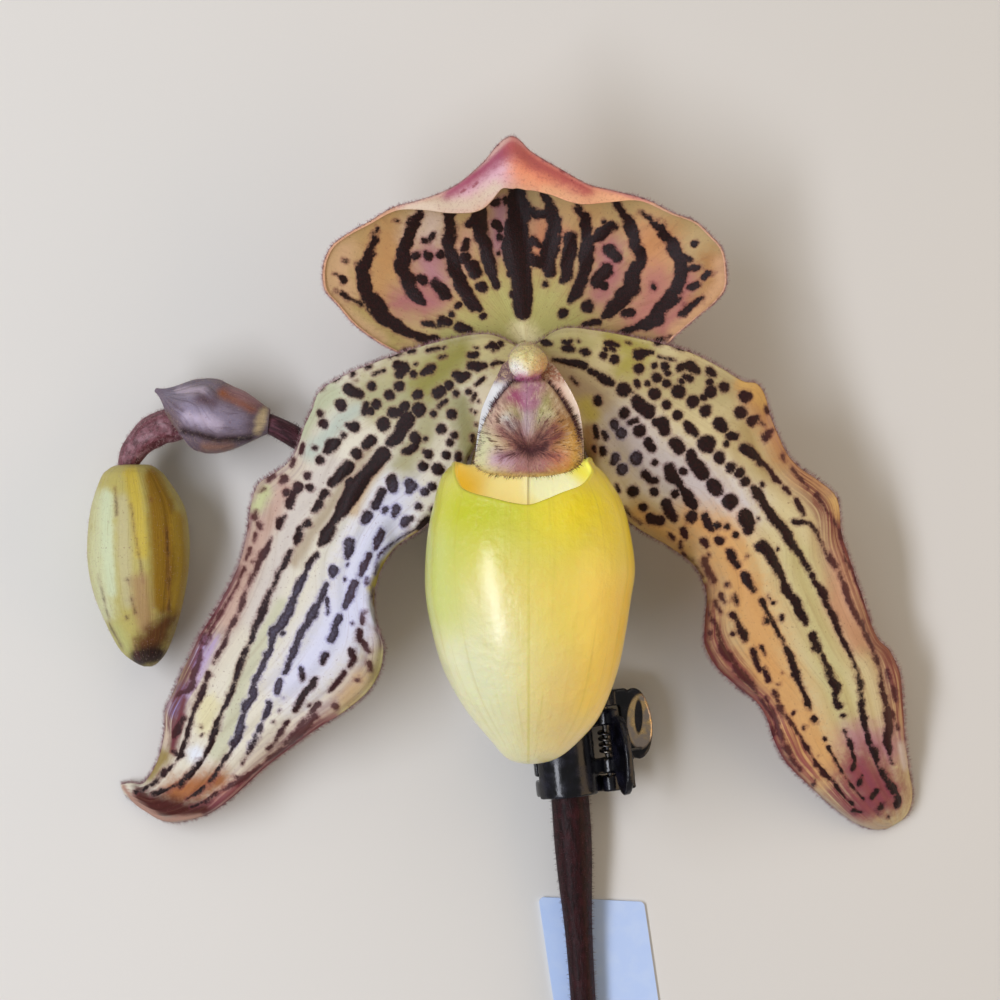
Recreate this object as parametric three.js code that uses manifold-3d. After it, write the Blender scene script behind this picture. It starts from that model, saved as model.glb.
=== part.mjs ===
// A cut flowering stem of a slipper orchid, lying on its back: one open flower, one bud on
// the same stem, the small claw clip that grips the stem, and the bare plant label under it.
//
// Units are millimetres, +Z is up and the stem lies on the plane z = 0, so the open flower
// faces +Z and the stem runs down towards -Y. The origin is the middle of the bottom of the
// box around the whole object.

import * as THREE from 'three';
import Module from 'manifold-3d';
import { mergeVertices } from 'three/addons/utils/BufferGeometryUtils.js';

const wasm = await Module();
wasm.setup();

// ---------------------------------------------------------------- driving dimensions

// Outlines are drawn in the plane of the flower as an eye straight above sees them.
// A part that lies lower than that plane is drawn as large as it looks from there.
const EYE = { x: -3.8, y: -21.3, above: 480 };
const FLOWER_PLANE = 26; // height of the drawing plane above the surface
const GAP = 0.3; // between pieces that touch
const SEPAL_THICK = 0.9;
const PETAL_THICK = 0.9;
const POUCH_WALL = 1.0;

// Points of each petal from its foot to its tip, as [x, y, z] on its upper margin and
// [x, y, z] on its lower margin.
const LEFT_PETAL = [
  [[-1.3, 1.4, 22.2], [-1.3, -1.8, 22.2]],
  [[-4.6, 3.6, 22.0], [-3.9, -6.0, 22.2]],
  [[-12.9, 2.7, 21.4], [-7.6, -13.0, 22.0]],
  [[-22.5, -0.3, 20.4], [-12.6, -22.0, 21.2]],
  [[-31.2, -4.7, 19.0], [-18.4, -27.4, 20.8]],
  [[-34.8, -14.0, 17.4], [-22.2, -32.2, 20.4]],
  [[-40.4, -18.8, 15.8], [-22.8, -38.0, 19.6]],
  [[-42.6, -27.8, 14.0], [-21.6, -43.8, 18.0]],
  [[-46.7, -37.5, 11.6], [-24.0, -50.5, 15.6]],
  [[-51.2, -45.8, 9.0], [-31.8, -56.1, 12.6]],
  [[-54.7, -53.5, 6.6], [-40.0, -62.3, 9.4]],
  [[-56.2, -61.0, 4.2], [-48.6, -69.2, 6.2]],
  [[-58.6, -64.4, 2.2], [-56.0, -69.8, 3.0]],
  [[-61.0, -64.9, 0.23], [-60.4, -66.9, 0.35]],
];
const RIGHT_PETAL = [
  [[2.5, 1.4, 22.2], [2.5, -1.8, 22.2]],
  [[6.0, 4.6, 22.0], [5.6, -6.0, 22.2]],
  [[16.1, 3.5, 21.4], [9.9, -15.0, 22.0]],
  [[26.0, 0.8, 20.4], [14.2, -23.0, 21.2]],
  [[33.1, -3.4, 19.0], [19.8, -27.1, 20.8]],
  [[38.3, -11.4, 17.4], [25.4, -30.9, 20.2]],
  [[45.0, -18.5, 15.6], [27.8, -36.5, 19.0]],
  [[48.0, -26.8, 13.8], [27.4, -42.6, 17.6]],
  [[52.1, -38.6, 11.2], [32.1, -49.4, 15.0]],
  [[55.5, -44.2, 9.0], [36.9, -54.6, 12.4]],
  [[57.3, -51.5, 7.0], [39.8, -61.3, 9.6]],
  [[58.4, -62.3, 4.4], [46.5, -67.6, 6.4]],
  [[59.0, -66.1, 2.2], [51.2, -70.7, 3.4]],
  [[57.8, -69.9, 0.21], [54.7, -71.3, 0.35]],
];
const PETAL_ARCH = 1.6; // rise of the middle of a petal above the line between its margins

// The back sepal is a fan around its foot: [angle in degrees from +X, radius] of its edge.
const DORSAL_FOOT = { x: 0, y: 2.3 };
const DORSAL_EDGE = [
  [-6, 16], [3, 23.4], [10, 27.2], [16, 31.8], [22, 33.2], [30, 32.9], [41, 30.1],
  [55, 27.6], [68, 26.0], [80, 27.4], [88, 29.8], [93.8, 31.8], [100, 29.4], [111, 26.4],
  [121, 26.3], [133, 28.8], [145, 31.6], [154, 33.1], [160, 32.6], [166, 30.9],
  [172, 27.4], [178, 23.0], [186, 17],
];
const HOOD_ANGLE = 93.8; // where the tip of the sepal folds forward
const HOOD_DEPTH = 7.4; // how far the folded edge reaches back down over the sepal
const HOOD_SPREAD = 42; // degrees to each side in which the fold runs out
const DORSAL_HEIGHT = [[0, 19.35], [0.3, 16.8], [0.62, 16.2], [0.85, 19.0], [1, 23.6]];

const SYNSEPAL_LINE = [[0.5, -2.3, 19.0], [0.6, -14, 16.6], [0.7, -30, 15.6], [0.8, -46, 17.0]];
const SYNSEPAL_WIDTH = [[0, 4], [0.2, 15], [0.5, 20], [0.8, 13], [1, 1.6]];

// The pouch: half width, front and back height along its length, and the height of its rim.
const POUCH = { middle: 0.75, widest: -32, end: -61.3, halfWidth: 15.9, top: -15.5 };
const POUCH_FRONT = [
  [-61.3, 29.6], [-60.2, 33.0], [-57, 36.6], [-51.8, 41.0], [-41.5, 45.4], [-32, 46.6],
  [-22, 43.6], [-15.5, 40.2], [-3, 32],
];
const POUCH_BACK = [
  [-61.3, 29.6], [-60.2, 26.8], [-57, 24.6], [-51.8, 22.6], [-41.5, 20.9], [-32, 20.8],
  [-22, 22.2], [-15.5, 23.0], [-3, 22.6],
];
// [angle around the mouth in degrees, 0 in front and 180 at the back, y of the rim there]
const POUCH_RIM = [
  [0, -22.0], [20, -20.9], [45, -19.4], [70, -16.8], [90, -15.5], [135, -15.4],
  [160, -13], [180, -2.3],
];

const COLUMN_LINE = [[0.55, -0.2, 19.0], [0.7, -0.2, 26.0], [0.9, -0.5, 34.2]];
const COLUMN_RADIUS = [[0, 1.5], [0.3, 1.6], [0.6, 1.9], [0.84, 2.6], [0.95, 2.2], [1, 1.0]];
// The shield in front of the column: [y, half width, height of its middle]
const SHIELD = [
  [-3.6, 1.6, 32.6], [-4.6, 4.2, 33.4], [-7.0, 6.6, 34.4], [-10.5, 8.0, 35.2],
  [-14.0, 8.1, 35.4], [-16.2, 7.2, 34.8], [-17.2, 4.2, 34.2],
];
const SHIELD_MIDDLE = 0.7;
const SHIELD_THICK = 1.4;
const SHIELD_DROP = 2.2; // how much lower the sides of the shield lie than its middle

// The stem from its cut end to the bud's bract, and the ovary of the open flower.
const STEM_LINE = [
  [10.2, -131, 2.7], [9.6, -112, 2.8], [8.8, -97, 2.95], [7.8, -82, 3.5], [6.84, -66.7, 4.95],
  [5.4, -54, 5.35], [4.0, -43, 5.2], [0.6, -34.6, 5.0], [-6.5, -27.8, 5.0], [-15.5, -22.4, 5.4],
  [-26, -17.4, 6.2], [-34.2, -12.2, 6.9], [-38.6, -9.65, 7.4],
];
const STEM_RADIUS = [
  [0, 1.75], [0.2, 1.75], [0.3, 2.1], [0.42, 2.8], [0.56, 2.7], [0.66, 1.9], [0.96, 1.6], [1, 1.3],
];
const OVARY_LINE = [
  [2.6, -38.5, 5.2], [2.9, -30, 4.9], [2.6, -20, 3.9], [1.9, -10, 3.2], [1.0, -2.6, 4.6],
  [0.45, 0.7, 9.0], [0.45, 0.7, 14.0], [0.5, 0.2, 18.2],
];
const OVARY_RADIUS = [[0, 1.9], [0.2, 2.5], [0.5, 3.0], [0.7, 2.9], [0.9, 2.2], [1, 2.3]];
const FLOWER_BRACT_RADIUS = [[0, 2.9], [0.3, 3.5], [0.6, 3.8], [1, 3.9]];
const FLOWER_BRACT_FROM = [[0, -120], [0.5, -90], [1, -28]];
const FLOWER_BRACT_TO = [[0, 90], [0.5, 60], [1, -12]];
const FLOWER_BRACT_SPAN = [0.1, 0.42]; // shares of the ovary's length between which it lies

// The bud, its ovary and the bract around that.
const BUD_LINE = [[-58.6, -16.2, 7.85], [-58.8, -28, 8.04], [-58.2, -38, 7.55], [-57.3, -46.4, 6.55]];
const BUD_RADIUS = [
  [0, 1.7], [0.03, 3.5], [0.1, 5.7], [0.22, 7.2], [0.4, 7.75], [0.58, 7.1], [0.75, 5.5],
  [0.9, 3.3], [0.97, 1.9], [1, 0.8],
];
const BUD_OVARY_LINE = [
  [-39.75, -9.25, 7.45], [-46, -9.55, 7.9], [-53.6, -9.85, 8.0], [-56.7, -11.0, 7.9],
  [-58.9, -13.1, 7.8], [-60.1, -15.1, 7.9],
];
const BUD_OVARY_RADIUS = [[0, 1.1], [0.35, 1.4], [0.62, 1.9], [0.8, 1.85], [1, 1.4]];
const BUD_BRACT_LINE = [
  [-39.0, -9.35, 7.4], [-43, -9.0, 7.6], [-47.4, -8.6, 7.6], [-51.8, -7.1, 7.4], [-56.0, -4.6, 7.2],
];
const BUD_BRACT_RADIUS = [[0, 2.05], [0.25, 4.3], [0.5, 5.6], [0.75, 4.2], [0.94, 1.4], [1, 0.6]];
const BRACT_THICK = 0.5;
// Where the bract's two edges lie around its line, in degrees, along its length.
const BUD_BRACT_FROM = [[0, -58], [0.42, -58], [0.6, 20], [0.8, 50], [1, 80]];
const BUD_BRACT_TO = [[0, 232], [0.5, 225], [1, 110]];

// The claw clip: two jaws around the stem, hinged on a pin beside it.
const CLIP = {
  y: -58.55, // middle of its length along the stem
  x: 5.94,
  z: 5.15,
  turn: 6, // degrees, so that it follows the stem
  length: 16,
  jawInner: 3.6,
  jawOuter: 5.15,
  hinge: 6.9, // distance from the middle of the stem to the pin
  pinRadius: 0.6,
  boreRadius: 0.9,
  knuckleRadius: 1.6,
  knuckleLength: 2.6,
  webAngle: 36, // of the bar between a jaw and its knuckles
  webReach: 3.2,
  tabThick: 1.2,
  tabRoot: 2.3,
  railReach: 3.8,
  tabReach: 7.6,
  frontTab: 66, // degrees above the surface
  rearTab: -13,
  frontTabLength: 12.6,
  rearTabLength: 11.4,
  tabShift: 2.2, // how far the two tabs are staggered along the stem
  fingers: 5,
  fingerGap: 0.6,
};
const SPRING = { coilRadius: 1.25, wire: 0.25, turns: 4, width: 3.6, legRoot: 2.4, legTip: 5.4 };

// The label: a bare strip with a pointed foot that lies flat under the stem. Its head is cut
// askew: slant is how much further its left corner reaches than its right one.
const LABEL = {
  x: 10.05, y: -81.95, width: 16.6, length: 66.4, point: 10, thick: 0.5, turn: 8.3, corner: 0.8,
  slant: 2.9,
};

// ---------------------------------------------------------------- drawing helpers

/** A point drawn in the flower's plane, moved along the eye's line of sight to height z. */
function at(x, y, z) {
  const scale = trueScale(z);
  return new THREE.Vector3(EYE.x + (x - EYE.x) * scale, EYE.y + (y - EYE.y) * scale, z);
}

/** Real size of a thing at height z over the size that it is drawn at. */
function trueScale(z) {
  return (EYE.above + FLOWER_PLANE - z) / EYE.above;
}

/** A smooth function through [place, value] knots, by cubic pieces. */
function through(knots) {
  const slope = knots.map((knot, i) => {
    const before = knots[Math.max(i - 1, 0)];
    const after = knots[Math.min(i + 1, knots.length - 1)];
    return (after[1] - before[1]) / (after[0] - before[0]);
  });
  return (place) => {
    const x = THREE.MathUtils.clamp(place, knots[0][0], knots.at(-1)[0]);
    const i = Math.max(1, knots.findIndex((knot) => knot[0] >= x));
    const [x0, y0] = knots[i - 1];
    const [x1, y1] = knots[i];
    const t = (x - x0) / (x1 - x0);
    const bend = (x1 - x0) * t * (1 - t);
    const blend = t * t * (3 - 2 * t);
    return y0 + (y1 - y0) * blend + bend * ((1 - t) * slope[i - 1] - t * slope[i]);
  };
}

function line(points) {
  return new THREE.CatmullRomCurve3(points.map(([x, y, z]) => at(x, y, z)));
}

/** One solid from a list of triangles' corners, with its faces pointing out. */
function solid(corners) {
  let volume = 0;
  for (let i = 0; i < corners.length; i += 3) {
    volume += corners[i].dot(corners[i + 1].clone().cross(corners[i + 2]));
  }
  const order = volume < 0 ? [0, 2, 1] : [0, 1, 2];
  const positions = [];
  for (let i = 0; i < corners.length; i += 3) {
    for (const k of order) positions.push(...corners[i + k].toArray());
  }
  const geometry = new THREE.BufferGeometry();
  geometry.setAttribute('position', new THREE.Float32BufferAttribute(positions, 3));
  return geometry;
}

/** Triangles between rings of the same number of points, each ring a closed loop. */
function walls(rings) {
  const corners = [];
  for (let r = 0; r + 1 < rings.length; r += 1) {
    const a = rings[r];
    const b = rings[r + 1];
    for (let i = 0; i < a.length; i += 1) {
      const j = (i + 1) % a.length;
      corners.push(a[i], a[j], b[j], a[i], b[j], b[i]);
    }
  }
  return corners;
}

/** A solid over rings whose ends close with a fan around their middle. */
function skin(rings) {
  const corners = walls(rings);
  for (const [ring, flip] of [[rings[0], true], [rings.at(-1), false]]) {
    const middle = ring.reduce((sum, p) => sum.add(p), new THREE.Vector3()).divideScalar(ring.length);
    for (let i = 0; i < ring.length; i += 1) {
      const j = (i + 1) % ring.length;
      corners.push(middle, ...(flip ? [ring[j], ring[i]] : [ring[i], ring[j]]));
    }
  }
  return solid(corners);
}

/** A thin solid on both sides of surface(u, v), with u from -1 to 1 and v from 0 to 1. */
function sheet(surface, thick, columns, rows) {
  const step = 1e-3;
  const rings = [];
  for (let r = 0; r <= rows; r += 1) {
    const v = r / rows;
    const front = [];
    const back = [];
    for (let c = 0; c <= columns; c += 1) {
      const u = -1 + (2 * c) / columns;
      const along = surface(u, Math.min(v + step, 1)).sub(surface(u, Math.max(v - step, 0)));
      const across = surface(Math.min(u + step, 1), v).sub(surface(Math.max(u - step, -1), v));
      const normal = across.cross(along).normalize();
      const half = (thick / 2) * (1 - 0.35 * u ** 4);
      front.push(surface(u, v).addScaledVector(normal, half));
      back.unshift(surface(u, v).addScaledVector(normal, -half));
    }
    rings.push([...front, ...back]);
  }
  const corners = walls(rings);
  for (const [ring, flip] of [[rings[0], true], [rings.at(-1), false]]) {
    for (let c = 0; c < columns; c += 1) {
      const quad = [ring[c], ring[c + 1], ring[ring.length - 2 - c], ring[ring.length - 1 - c]];
      if (flip) quad.reverse();
      corners.push(quad[0], quad[1], quad[2], quad[0], quad[2], quad[3]);
    }
  }
  return solid(corners);
}

/** Frames along a curve that turn as little as they can: { point, side, up, along }. */
function frames(curve, count) {
  const list = [];
  let side = new THREE.Vector3(0, 0, 1).cross(curve.getTangent(0)).normalize();
  for (let i = 0; i <= count; i += 1) {
    const along = curve.getTangentAt(i / count);
    side = side.clone().addScaledVector(along, -side.dot(along)).normalize();
    list.push({ point: curve.getPointAt(i / count), side, up: along.clone().cross(side), along });
  }
  return list;
}

/** A round tapering stalk along a line, with radii drawn at [share of its length, radius]. */
function stalk(points, radii, sides, steps, extra = 0) {
  const radius = through(radii);
  const rings = frames(line(points), steps).map((frame, i) => {
    const r = radius(i / steps) * trueScale(frame.point.z) + extra;
    return Array.from({ length: sides }, (_, k) => {
      const angle = (2 * Math.PI * k) / sides;
      return frame.point.clone()
        .addScaledVector(frame.side, r * Math.cos(angle))
        .addScaledVector(frame.up, r * Math.sin(angle));
    });
  });
  return skin(rings);
}

/** A bract: a sheath around a curve, open along one side, between two edges in degrees. */
function sheath(curve, radii, fromDegrees, toDegrees, rows) {
  const [radius, from, to] = [radii, fromDegrees, toDegrees].map(through);
  const stations = frames(curve, rows);
  return sheet((u, v) => {
    const row = Math.min(Math.floor(v * rows), rows - 1);
    const mix = v * rows - row;
    const side = stations[row].side.clone().lerp(stations[row + 1].side, mix);
    const up = stations[row].up.clone().lerp(stations[row + 1].up, mix);
    const angle = THREE.MathUtils.degToRad(THREE.MathUtils.mapLinear(u, -1, 1, from(v), to(v)));
    return curve.getPointAt(v)
      .addScaledVector(side, radius(v) * Math.cos(angle))
      .addScaledVector(up, radius(v) * Math.sin(angle));
  }, BRACT_THICK, 10, rows);
}

function toManifold(geometry) {
  const bare = geometry.clone();
  for (const name of Object.keys(bare.attributes)) {
    if (name !== 'position') bare.deleteAttribute(name);
  }
  const merged = mergeVertices(bare.index ? bare.toNonIndexed() : bare, 1e-4);
  return new wasm.Manifold(new wasm.Mesh({
    numProp: 3,
    vertProperties: new Float32Array(merged.attributes.position.array),
    triVerts: new Uint32Array(merged.index.array),
  }));
}

function fromManifold(manifold) {
  const mesh = manifold.getMesh();
  const geometry = new THREE.BufferGeometry();
  geometry.setAttribute('position', new THREE.Float32BufferAttribute(mesh.vertProperties, 3));
  geometry.setIndex([...mesh.triVerts]);
  return geometry;
}

function join(...geometries) {
  return fromManifold(geometries.map(toManifold).reduce((all, one) => all.add(one)));
}

function cut(geometry, ...tools) {
  return fromManifold(tools.map(toManifold).reduce((left, tool) => left.subtract(tool), toManifold(geometry)));
}

// ---------------------------------------------------------------- the flower

function petal(rungs) {
  const upper = line(rungs.map((rung) => rung[0]));
  const lower = line(rungs.map((rung) => rung[1]));
  const surface = (u, v) => {
    const point = lower.getPoint(v).lerp(upper.getPoint(v), (1 + u) / 2);
    const width = upper.getPoint(v).distanceTo(lower.getPoint(v));
    point.z += PETAL_ARCH * (1 - u * u) * Math.min(1, width / 15);
    return point;
  };
  return sheet(surface, PETAL_THICK, 7, 34);
}

/** The back sepal fans out from its foot, and its tip folds forward like a hood. */
function dorsalSepal() {
  const edge = through(DORSAL_EDGE);
  const height = through(DORSAL_HEIGHT);
  const first = DORSAL_EDGE[0][0];
  const last = DORSAL_EDGE.at(-1)[0];
  const fold = 0.86; // share of the sheet's rows that lies before the fold
  const surface = (u, v) => {
    const angle = THREE.MathUtils.mapLinear(u, -1, 1, first, last);
    const share = Math.min(1, 0.1 + (0.9 * v) / fold);
    const beyond = Math.max(0, (v - fold) / (1 - fold));
    const tip = Math.max(0, 1 - Math.abs(angle - HOOD_ANGLE) / HOOD_SPREAD) ** 1.4;
    const back = HOOD_DEPTH * tip;
    const reach = share * edge(angle) - beyond * back;
    const upright = Math.max(0, Math.sin(THREE.MathUtils.degToRad(angle)));
    const sides = 19.35 - 2.3 * share + 2.8 * share ** 4;
    const z = THREE.MathUtils.lerp(sides, height(share), upright) + beyond * (0.4 + 3.2 * tip);
    const turn = THREE.MathUtils.degToRad(angle);
    return at(DORSAL_FOOT.x + reach * Math.cos(turn), DORSAL_FOOT.y + reach * Math.sin(turn), z);
  };
  return sheet(surface, SEPAL_THICK, 26, 14);
}

function synsepal() {
  const middle = line(SYNSEPAL_LINE);
  const width = through(SYNSEPAL_WIDTH);
  return sheet((u, v) => {
    const point = middle.getPoint(v);
    point.x += (u * width(v)) / 2;
    point.z += 1.6 * u * u * Math.min(1, width(v) / 15);
    return point;
  }, SEPAL_THICK, 6, 14);
}

/** The pouch: a thin bag with an open mouth, its rim drawn out at the back into a claw. */
function labellum() {
  const front = through(POUCH_FRONT);
  const back = through(POUCH_BACK);
  const rim = through(POUCH_RIM);
  const halfWidth = (y) => {
    if (y < POUCH.widest) {
      const down = (POUCH.widest - y) / (POUCH.widest - POUCH.end);
      return POUCH.halfWidth * Math.max(0, 1 - down * down) ** 0.625;
    }
    const rise = Math.min(1, (y - POUCH.widest) / (POUCH.top - POUCH.widest));
    return POUCH.halfWidth * (1 - 0.36 * rise ** 2.3);
  };
  const around = 30;
  const ring = (share, inset) => Array.from({ length: around }, (_, k) => {
    const degrees = (360 * k) / around;
    const fromFront = degrees > 180 ? 360 - degrees : degrees;
    const depth = Math.sin((share * Math.PI) / 2);
    const y = THREE.MathUtils.lerp(rim(fromFront), POUCH.end + inset, depth);
    const turn = THREE.MathUtils.degToRad(degrees);
    const middle = (front(y) + back(y)) / 2;
    const deep = Math.max(0.2, (front(y) - back(y)) / 2 - inset);
    const wide = Math.max(0.2, halfWidth(y) - inset);
    return at(POUCH.middle + wide * Math.sin(turn), y, middle + deep * Math.cos(turn));
  });
  const steps = Array.from({ length: 13 }, (_, i) => i / 13);
  const outer = steps.map((share) => ring(share, 0));
  const inner = steps.map((share) => ring(share, POUCH_WALL)).reverse();
  return skin([...inner, ...outer]);
}

function staminode() {
  const halfWidth = through(SHIELD.map(([y, half]) => [-y, half]));
  const height = through(SHIELD.map(([y, , z]) => [-y, z]));
  const top = SHIELD[0][0];
  const bottom = SHIELD.at(-1)[0];
  return sheet((u, v) => {
    const y = THREE.MathUtils.lerp(top, bottom, v);
    const x = SHIELD_MIDDLE + u * halfWidth(-y);
    return at(x, y, height(-y) - SHIELD_DROP * u * u);
  }, SHIELD_THICK, 8, 10);
}

/** The bract at the open flower's node sheathes the first part of its ovary. */
function flowerBract() {
  const ovary = line(OVARY_LINE);
  const [start, end] = FLOWER_BRACT_SPAN;
  const part = Array.from({ length: 7 }, (_, i) => ovary.getPointAt(start + ((end - start) * i) / 6));
  const curve = new THREE.CatmullRomCurve3(part);
  return sheath(curve, FLOWER_BRACT_RADIUS, FLOWER_BRACT_FROM, FLOWER_BRACT_TO, 12);
}

// ---------------------------------------------------------------- the clip and the label

/** Part of a ring around the stem, between two angles, as long as depth along the stem. */
function arc(inner, outer, fromDegrees, toDegrees, start, depth) {
  const from = THREE.MathUtils.degToRad(fromDegrees);
  const to = THREE.MathUtils.degToRad(toDegrees);
  const shape = new THREE.Shape();
  shape.absarc(0, 0, outer, from, to, false);
  shape.absarc(0, 0, inner, to, from, true);
  return alongStem(shape, start, depth);
}

/** A shape drawn in x and z, extruded along the stem from y = start. */
function alongStem(shape, start, depth) {
  const geometry = new THREE.ExtrudeGeometry(shape, { depth, bevelEnabled: false, curveSegments: 10 });
  geometry.rotateX(Math.PI / 2);
  geometry.translate(0, start + depth, 0);
  return geometry;
}

function rod(radius, start, depth, sides = 20) {
  const geometry = new THREE.CylinderGeometry(radius, radius, depth, sides);
  geometry.translate(CLIP.hinge, start + depth / 2, 0);
  return geometry;
}

/** A flat bar on the hinge at an angle, between two distances from the pin. */
function bar(degrees, near, far, start, depth) {
  const geometry = new THREE.BoxGeometry(far - near, depth, CLIP.tabThick);
  geometry.translate((near + far) / 2, start + depth / 2, 0);
  geometry.rotateY(-THREE.MathUtils.degToRad(degrees));
  geometry.translate(CLIP.hinge, 0, 0);
  return geometry;
}

/** An oval thumb tab that leaves the hinge at an angle, staggered along the stem. */
function tab(degrees, length, shift) {
  const shape = new THREE.Shape();
  const [near, far] = [CLIP.tabRoot, CLIP.tabReach];
  shape.absellipse((near + far) / 2, 0, (far - near) / 2, length / 2, 0, 2 * Math.PI, false);
  const geometry = new THREE.ExtrudeGeometry(shape, {
    depth: CLIP.tabThick, bevelEnabled: false, curveSegments: 12,
  });
  geometry.translate(0, shift, -CLIP.tabThick / 2);
  geometry.rotateY(-THREE.MathUtils.degToRad(degrees));
  geometry.translate(CLIP.hinge, 0, 0);
  return geometry;
}

/** One jaw: half a ring with fingers, its knuckles around the pin and its thumb tab. */
function clipJaw(front) {
  const { length, jawInner, jawOuter, knuckleLength, knuckleRadius, fingers, fingerGap } = CLIP;
  const start = -length / 2;
  const pitch = length / fingers;
  const [from, to] = front ? [24, 154] : [206, 336];
  const [fingerFrom, fingerTo] = front ? [150, 198] : [162, 210];
  const tabAngle = front ? CLIP.frontTab : CLIP.rearTab;
  const inset = front ? knuckleLength + GAP : 0;
  const parts = [arc(jawInner, jawOuter, from, to, start, length)];
  for (let i = front ? 0 : 1; i < fingers; i += 2) {
    parts.push(arc(jawInner, jawOuter, fingerFrom, fingerTo, start + i * pitch + fingerGap / 2, pitch - fingerGap));
  }
  for (const end of [start + inset, -start - inset - knuckleLength]) {
    parts.push(rod(knuckleRadius, end, knuckleLength));
    parts.push(bar(front ? 180 - CLIP.webAngle : 180 + CLIP.webAngle, 0.9, CLIP.webReach, end, knuckleLength));
    parts.push(bar(tabAngle, 0.9, CLIP.railReach, end, knuckleLength));
  }
  parts.push(bar(tabAngle, CLIP.tabRoot, CLIP.railReach, start + inset, length - 2 * inset));
  parts.push(front
    ? tab(tabAngle, CLIP.frontTabLength, -CLIP.tabShift)
    : tab(tabAngle, CLIP.rearTabLength, CLIP.tabShift));
  return cut(join(...parts), rod(CLIP.boreRadius, start - 1, length + 2), ...roomForKnuckles(front));
}

/** The space that one jaw leaves for the other jaw's knuckles, at both ends of the hinge. */
function roomForKnuckles(front) {
  const half = CLIP.length / 2;
  const low = front ? half - CLIP.knuckleLength - GAP : half - 2 * CLIP.knuckleLength - 2 * GAP;
  const high = front ? half + 1 : half - CLIP.knuckleLength;
  return [rod(CLIP.knuckleRadius + GAP, low, high - low), rod(CLIP.knuckleRadius + GAP, -high, high - low)];
}

function clipPin() {
  return rod(CLIP.pinRadius, -CLIP.length / 2 + GAP, CLIP.length - 2 * GAP);
}

/** The coil around the pin, with a leg inside each tab. */
function clipSpring() {
  const { coilRadius, wire, turns, width, legTip, legRoot } = SPRING;
  const rise = (CLIP.tabThick / 2 + wire + GAP) / legTip;
  const tipAngle = THREE.MathUtils.radToDeg(Math.asin(rise));
  const points = [];
  const add = (degrees, reach, y) => {
    const angle = THREE.MathUtils.degToRad(degrees);
    points.push(new THREE.Vector3(CLIP.hinge + reach * Math.cos(angle), y, reach * Math.sin(angle)));
  };
  const first = CLIP.rearTab + 80;
  const last = CLIP.frontTab - 80 + 360 * turns;
  const steps = Math.round((last - first) / 30);
  add(CLIP.rearTab + tipAngle, legTip, -width / 2);
  add(CLIP.rearTab + 34, legRoot, -width / 2);
  for (let i = 0; i <= steps; i += 1) {
    add(first + ((last - first) * i) / steps, coilRadius, -width / 2 + (width * i) / steps);
  }
  add(CLIP.frontTab - 34, legRoot, width / 2);
  add(CLIP.frontTab - tipAngle, legTip, width / 2);
  const section = new THREE.Shape();
  section.absarc(0, 0, wire, 0, 2 * Math.PI, false);
  return new THREE.ExtrudeGeometry(section, {
    steps: 60, curveSegments: 3, bevelEnabled: false, extrudePath: new THREE.CatmullRomCurve3(points),
  });
}

function plantLabel() {
  const { width, length, point, thick, corner, slant } = LABEL;
  const shape = new THREE.Shape();
  const lean = Math.atan(slant / width);
  shape.moveTo(-width / 2, -point);
  shape.absarc(-width / 2 + corner, slant / 2 - corner, corner, Math.PI, Math.PI / 2 - lean, true);
  shape.absarc(width / 2 - corner, -slant / 2 - corner, corner, Math.PI / 2 - lean, 0, true);
  shape.lineTo(width / 2, point - length);
  shape.lineTo(1.5, -length);
  shape.lineTo(-1.5, -length);
  shape.lineTo(-width / 2, point - length);
  return new THREE.ExtrudeGeometry(shape, { depth: thick, bevelEnabled: false, curveSegments: 5 });
}

// ---------------------------------------------------------------- the assembly

const COLOURS = {
  stem: [0x4a141a, 0.6],
  sepal: [0xc0a878, 0.55],
  petal: [0xcdb8a4, 0.5],
  pouch: [0xd6cc3c, 0.35],
  column: [0xe6dcb4, 0.45],
  shield: [0xb08a62, 0.6],
  bud: [0xb8ae54, 0.5],
  bract: [0x77626e, 0.6],
  clip: [0x15151a, 0.25],
  wire: [0x8c8c90, 0.3],
  label: [0xdde6f5, 0.45],
};

function piece(name, geometry, finish) {
  const [colour, roughness] = COLOURS[finish];
  const material = new THREE.MeshStandardMaterial({
    color: colour, roughness, metalness: finish === 'wire' ? 1 : 0,
  });
  const mesh = new THREE.Mesh(geometry, material);
  mesh.name = name;
  return mesh;
}

function buildPlant() {
  const plant = new THREE.Group();
  const stemRoom = stalk(STEM_LINE, STEM_RADIUS, 14, 40, GAP);
  plant.add(
    piece('flower_stem', stalk(STEM_LINE, STEM_RADIUS, 12, 40), 'stem'),
    piece('flower_ovary', cut(stalk(OVARY_LINE, OVARY_RADIUS, 12, 26), stemRoom), 'stem'),
    piece('open_flower_bract', cut(flowerBract(), stemRoom), 'bract'),
    piece('dorsal_sepal', dorsalSepal(), 'sepal'),
    piece('synsepal', synsepal(), 'sepal'),
    piece('petal_left', petal(LEFT_PETAL), 'petal'),
    piece('petal_right', petal(RIGHT_PETAL), 'petal'),
    piece('labellum_pouch', labellum(), 'pouch'),
    piece('column', stalk(COLUMN_LINE, COLUMN_RADIUS, 12, 10), 'column'),
    piece('staminode', staminode(), 'shield'),
    piece('bud', stalk(BUD_LINE, BUD_RADIUS, 16, 20), 'bud'),
    piece('bud_ovary', stalk(BUD_OVARY_LINE, BUD_OVARY_RADIUS, 10, 16), 'stem'),
    piece('bud_bract', sheath(line(BUD_BRACT_LINE), BUD_BRACT_RADIUS, BUD_BRACT_FROM, BUD_BRACT_TO, 14), 'bract'),
  );
  return plant;
}

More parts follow.
